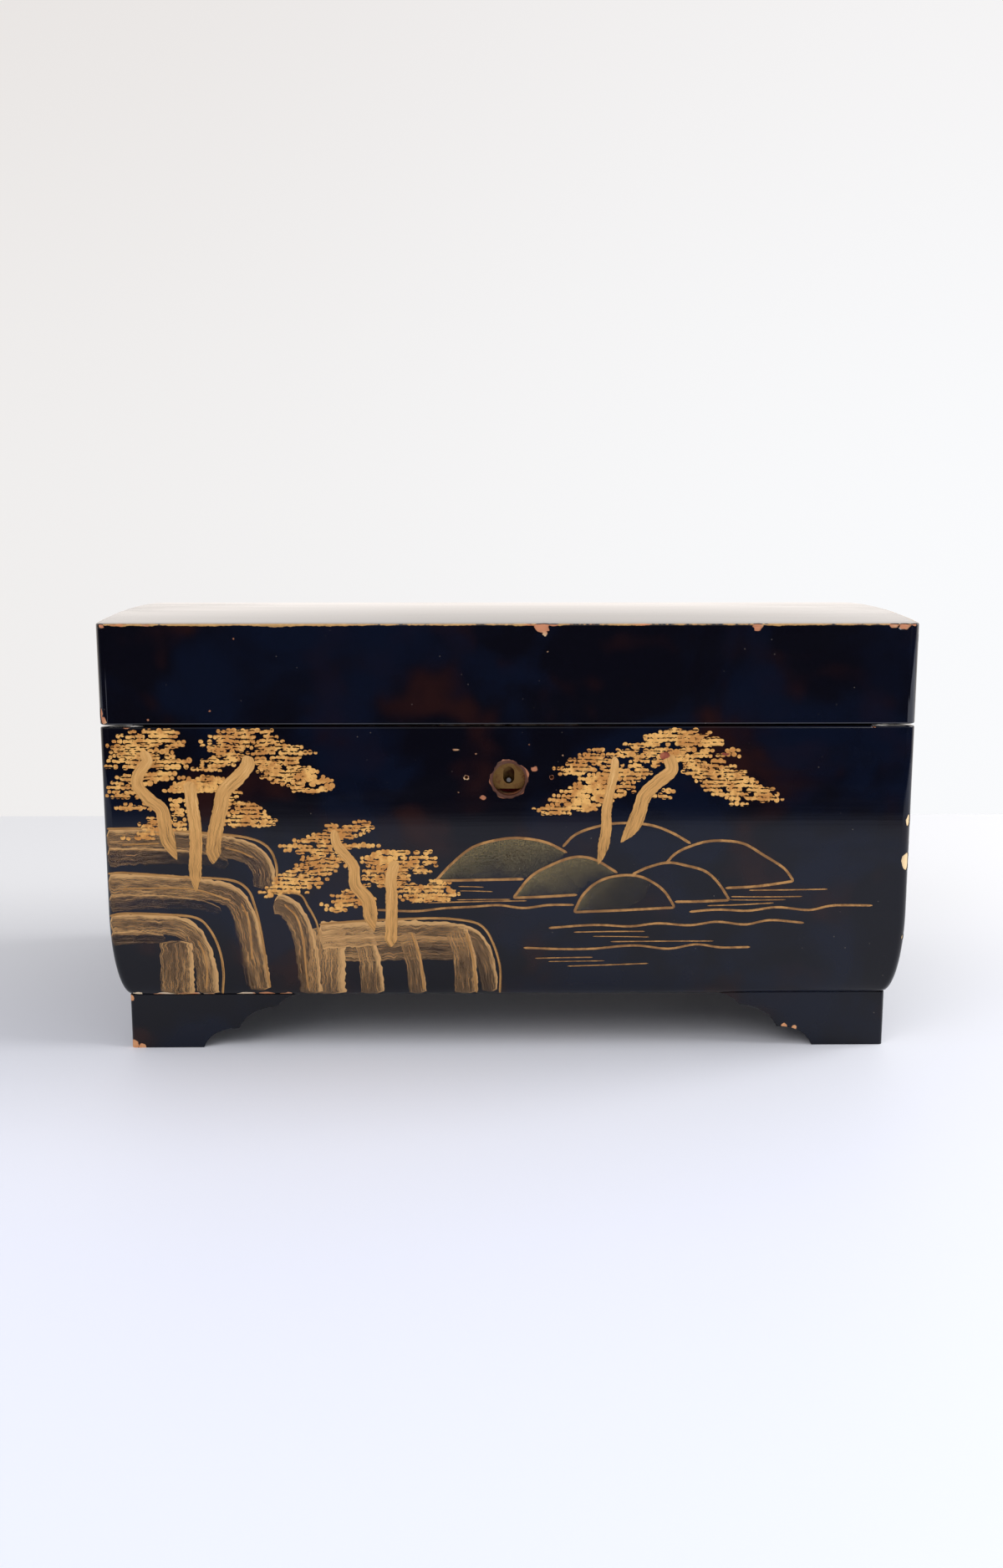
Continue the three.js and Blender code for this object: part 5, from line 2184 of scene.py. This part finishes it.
@dataclass
class Metalwork:
    """The mirror, its frame, the hinges, the lock and the screws."""

    def build(self) -> None:
        """Dresses every metal and glass node."""
        dress("mirror", MIRROR)
        dress("mirror_frame", FRAME_LACQUER, 1.2, 4)
        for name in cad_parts:
            if "screw" in name or name in ("key_post", "lock_bolt", "lock_spring"):
                dress(name, STEEL, 0.12, 2)
            elif name.startswith("hinge") and name.endswith("pin"):
                dress(name, STEEL, 0.15, 2)
            elif name.startswith("hinge") or name == "strike_plate":
                dress(name, BRASS, 0.12, 2)
            elif name in ("lock_case", "lock_cover"):
                dress(name, LOCK_BRASS, 0.1, 2)


# Stage


@dataclass
class Stage:
    """Floor, world, lamps and camera at the photograph's viewing angle.

    Args:
        eye: the camera's place in millimetres.
        pitch: its turn from looking down, in degrees.
        yaw: its turn to the left, in degrees.
        lens: its focal length in millimetres.
        floor_front: y of the table's front edge.
        floor_back: y of its back edge.
        plain_level: strength of the room's light on surfaces.
    """

    eye: Triple = (-8.5, -538.7, 166.2)
    pitch: float = 80.865
    yaw: float = -0.753
    lens: float = 31.905
    floor_front: float = -510
    floor_back: float = 365
    plain_level: float = 0.62

    def build(self) -> None:
        """Makes the whole stage."""
        self._camera()
        self._floor()
        self._world()
        self._lamp(
            "window",
            place=(1.30, -0.05, 1.05),
            size=(1.1, 0.9),
            energy=21,
            colour=(1.0, 0.985, 0.965),
            mirrored=True,
        )
        self._lamp(
            "room_fill",
            place=(-0.80, -1.50, 1.50),
            size=(1.4, 1.4),
            energy=13,
            colour=(1.0, 0.955, 0.90),
            mirrored=False,
        )
        bpy.context.scene.view_settings.view_transform = "Standard"

    def _camera(self) -> None:
        """Places the camera."""
        data = bpy.data.cameras.new("camera")
        data.lens = self.lens
        data.sensor_width = 36
        data.clip_start = 0.01
        made = bpy.data.objects.new("camera", data)
        made.location = Vector(self.eye) * MM
        made.rotation_euler = (math.radians(self.pitch), 0, math.radians(self.yaw))
        bpy.context.scene.collection.objects.link(made)
        bpy.context.scene.camera = made

    def _floor(self) -> None:
        """Makes the pale table, whose part beyond its front edge is dark in reflections only."""
        shape = bmesh.new()
        bmesh.ops.create_grid(shape, x_segments=1, y_segments=1, size=0.5)
        reach, back = 6.0, self.floor_back * MM
        bmesh.ops.scale(shape, vec=(reach, reach + back, 1), verts=shape.verts)
        bmesh.ops.translate(shape, vec=(0, (back - reach) / 2, 0), verts=shape.verts)
        made = new_object("table", shape)
        material = bpy.data.materials.new("pale_table")
        material.use_nodes = True
        tree = ShaderTree(material.node_tree)
        place = tree.place()
        _, y, _ = tree.axes(place)
        fore = tree.step(y, -0.42, 0.20)
        pale = tree.mix(fore, linear(229, 234, 252), linear(230, 231, 234))
        seen = tree.node("ShaderNodeLightPath", output="Is Glossy Ray")
        edge, blur = self.floor_front * MM, 0.03
        dark = seen * tree.step(y, edge - blur, edge + blur, 1, 0)
        fine = tree.bump(tree.noise(place, 900, 2), 0.1, 0.1)
        inputs = {"Base Color": pale, "Roughness": 0.6, "Normal": fine}
        table = tree.node("ShaderNodeBsdfPrincipled", None, inputs)
        night = tree.node("ShaderNodeEmission", None, {"Color": (0.012, 0.010, 0.013, 1)})
        shader = tree.node("ShaderNodeMixShader", None, {0: dark, 1: table, 2: night})
        tree.node("ShaderNodeOutputMaterial", None, {"Surface": shader})
        made.data.materials.append(material)

    def _world(self) -> None:
        """Makes the pale room: a wall to the camera, a dark room to reflections, plain light else."""
        world = bpy.data.worlds.new("room")
        bpy.context.scene.world = world
        world.use_nodes = True
        tree = ShaderTree(world.node_tree)
        x, y, z = tree.axes(tree.node("ShaderNodeTexCoord", output="Generated"))
        up = tree.step(z, 0.0, 0.55)
        left_wall = tree.mix(up, linear(240, 238, 237), linear(229, 224, 221))
        right_wall = tree.mix(up, linear(250, 251, 253), linear(243, 241, 241))
        wall = tree.mix(tree.step(x, -0.42, 0.42), left_wall, right_wall)
        room = tree.mix(tree.step(z, 0.04, 0.55), (0.035, 0.032, 0.036), (0.52, 0.52, 0.54))
        behind = tree.step(y, -0.15, 0.25)
        glow = tree.mix(tree.step(z, 0.2, 0.5), (1.26, 1.18, 1.12), wall)
        mirrored = tree.mix(behind, room, glow)
        glossy = tree.node("ShaderNodeLightPath", output="Is Glossy Ray")
        rays = glossy.output.node.outputs
        direct = Socket(tree, rays["Is Camera Ray"])
        camera = tree.math("MAXIMUM", direct, Socket(tree, rays["Is Transmission Ray"]))
        plain = tree.mix(tree.step(x, -0.8, 0.8), (0.92, 0.93, 1.0), (1.0, 1.0, 1.0))
        seen = tree.mix(camera, mirrored, wall)
        lit = tree.math("MAXIMUM", camera, glossy)
        strength = lit * (1 - self.plain_level) + self.plain_level
        inputs = {"Color": tree.mix(lit, plain, seen), "Strength": strength}
        shader = tree.node("ShaderNodeBackground", None, inputs)
        tree.node("ShaderNodeOutputWorld", None, {"Surface": shader})

    def _lamp(
        self,
        name: str,
        place: Triple,
        size: Point,
        energy: float,
        colour: Rgb,
        mirrored: bool,
    ) -> None:
        """Places a soft light that aims at the box.

        Args:
            name: the light's name.
            place: its centre in metres.
            size: its two sides.
            energy: its power in watts.
            colour: its colour.
            mirrored: whether glossy surfaces show it.
        """
        data = bpy.data.lights.new(name, "AREA")
        data.shape = "RECTANGLE"
        data.size, data.size_y = size
        data.energy = energy
        data.color = colour
        made = bpy.data.objects.new(name, data)
        made.location = place
        aim = Vector((0, 0, 0.06)) - made.location
        made.rotation_euler = aim.to_track_quat("-Z", "Y").to_euler()
        made.visible_glossy = mirrored
        bpy.context.scene.collection.objects.link(made)


def main() -> None:
    """Builds the box's looks in order."""
    logging.basicConfig(level=logging.INFO, format="%(message)s")
    sizes = BoxSizes()
    Stage().build()
    LacquerCoats(sizes).build()
    BracketFeet().build()
    GoldOrnament(sizes).build()
    SoftParts(sizes).build()
    Metalwork().build()


if __name__ == "__main__":
    main()
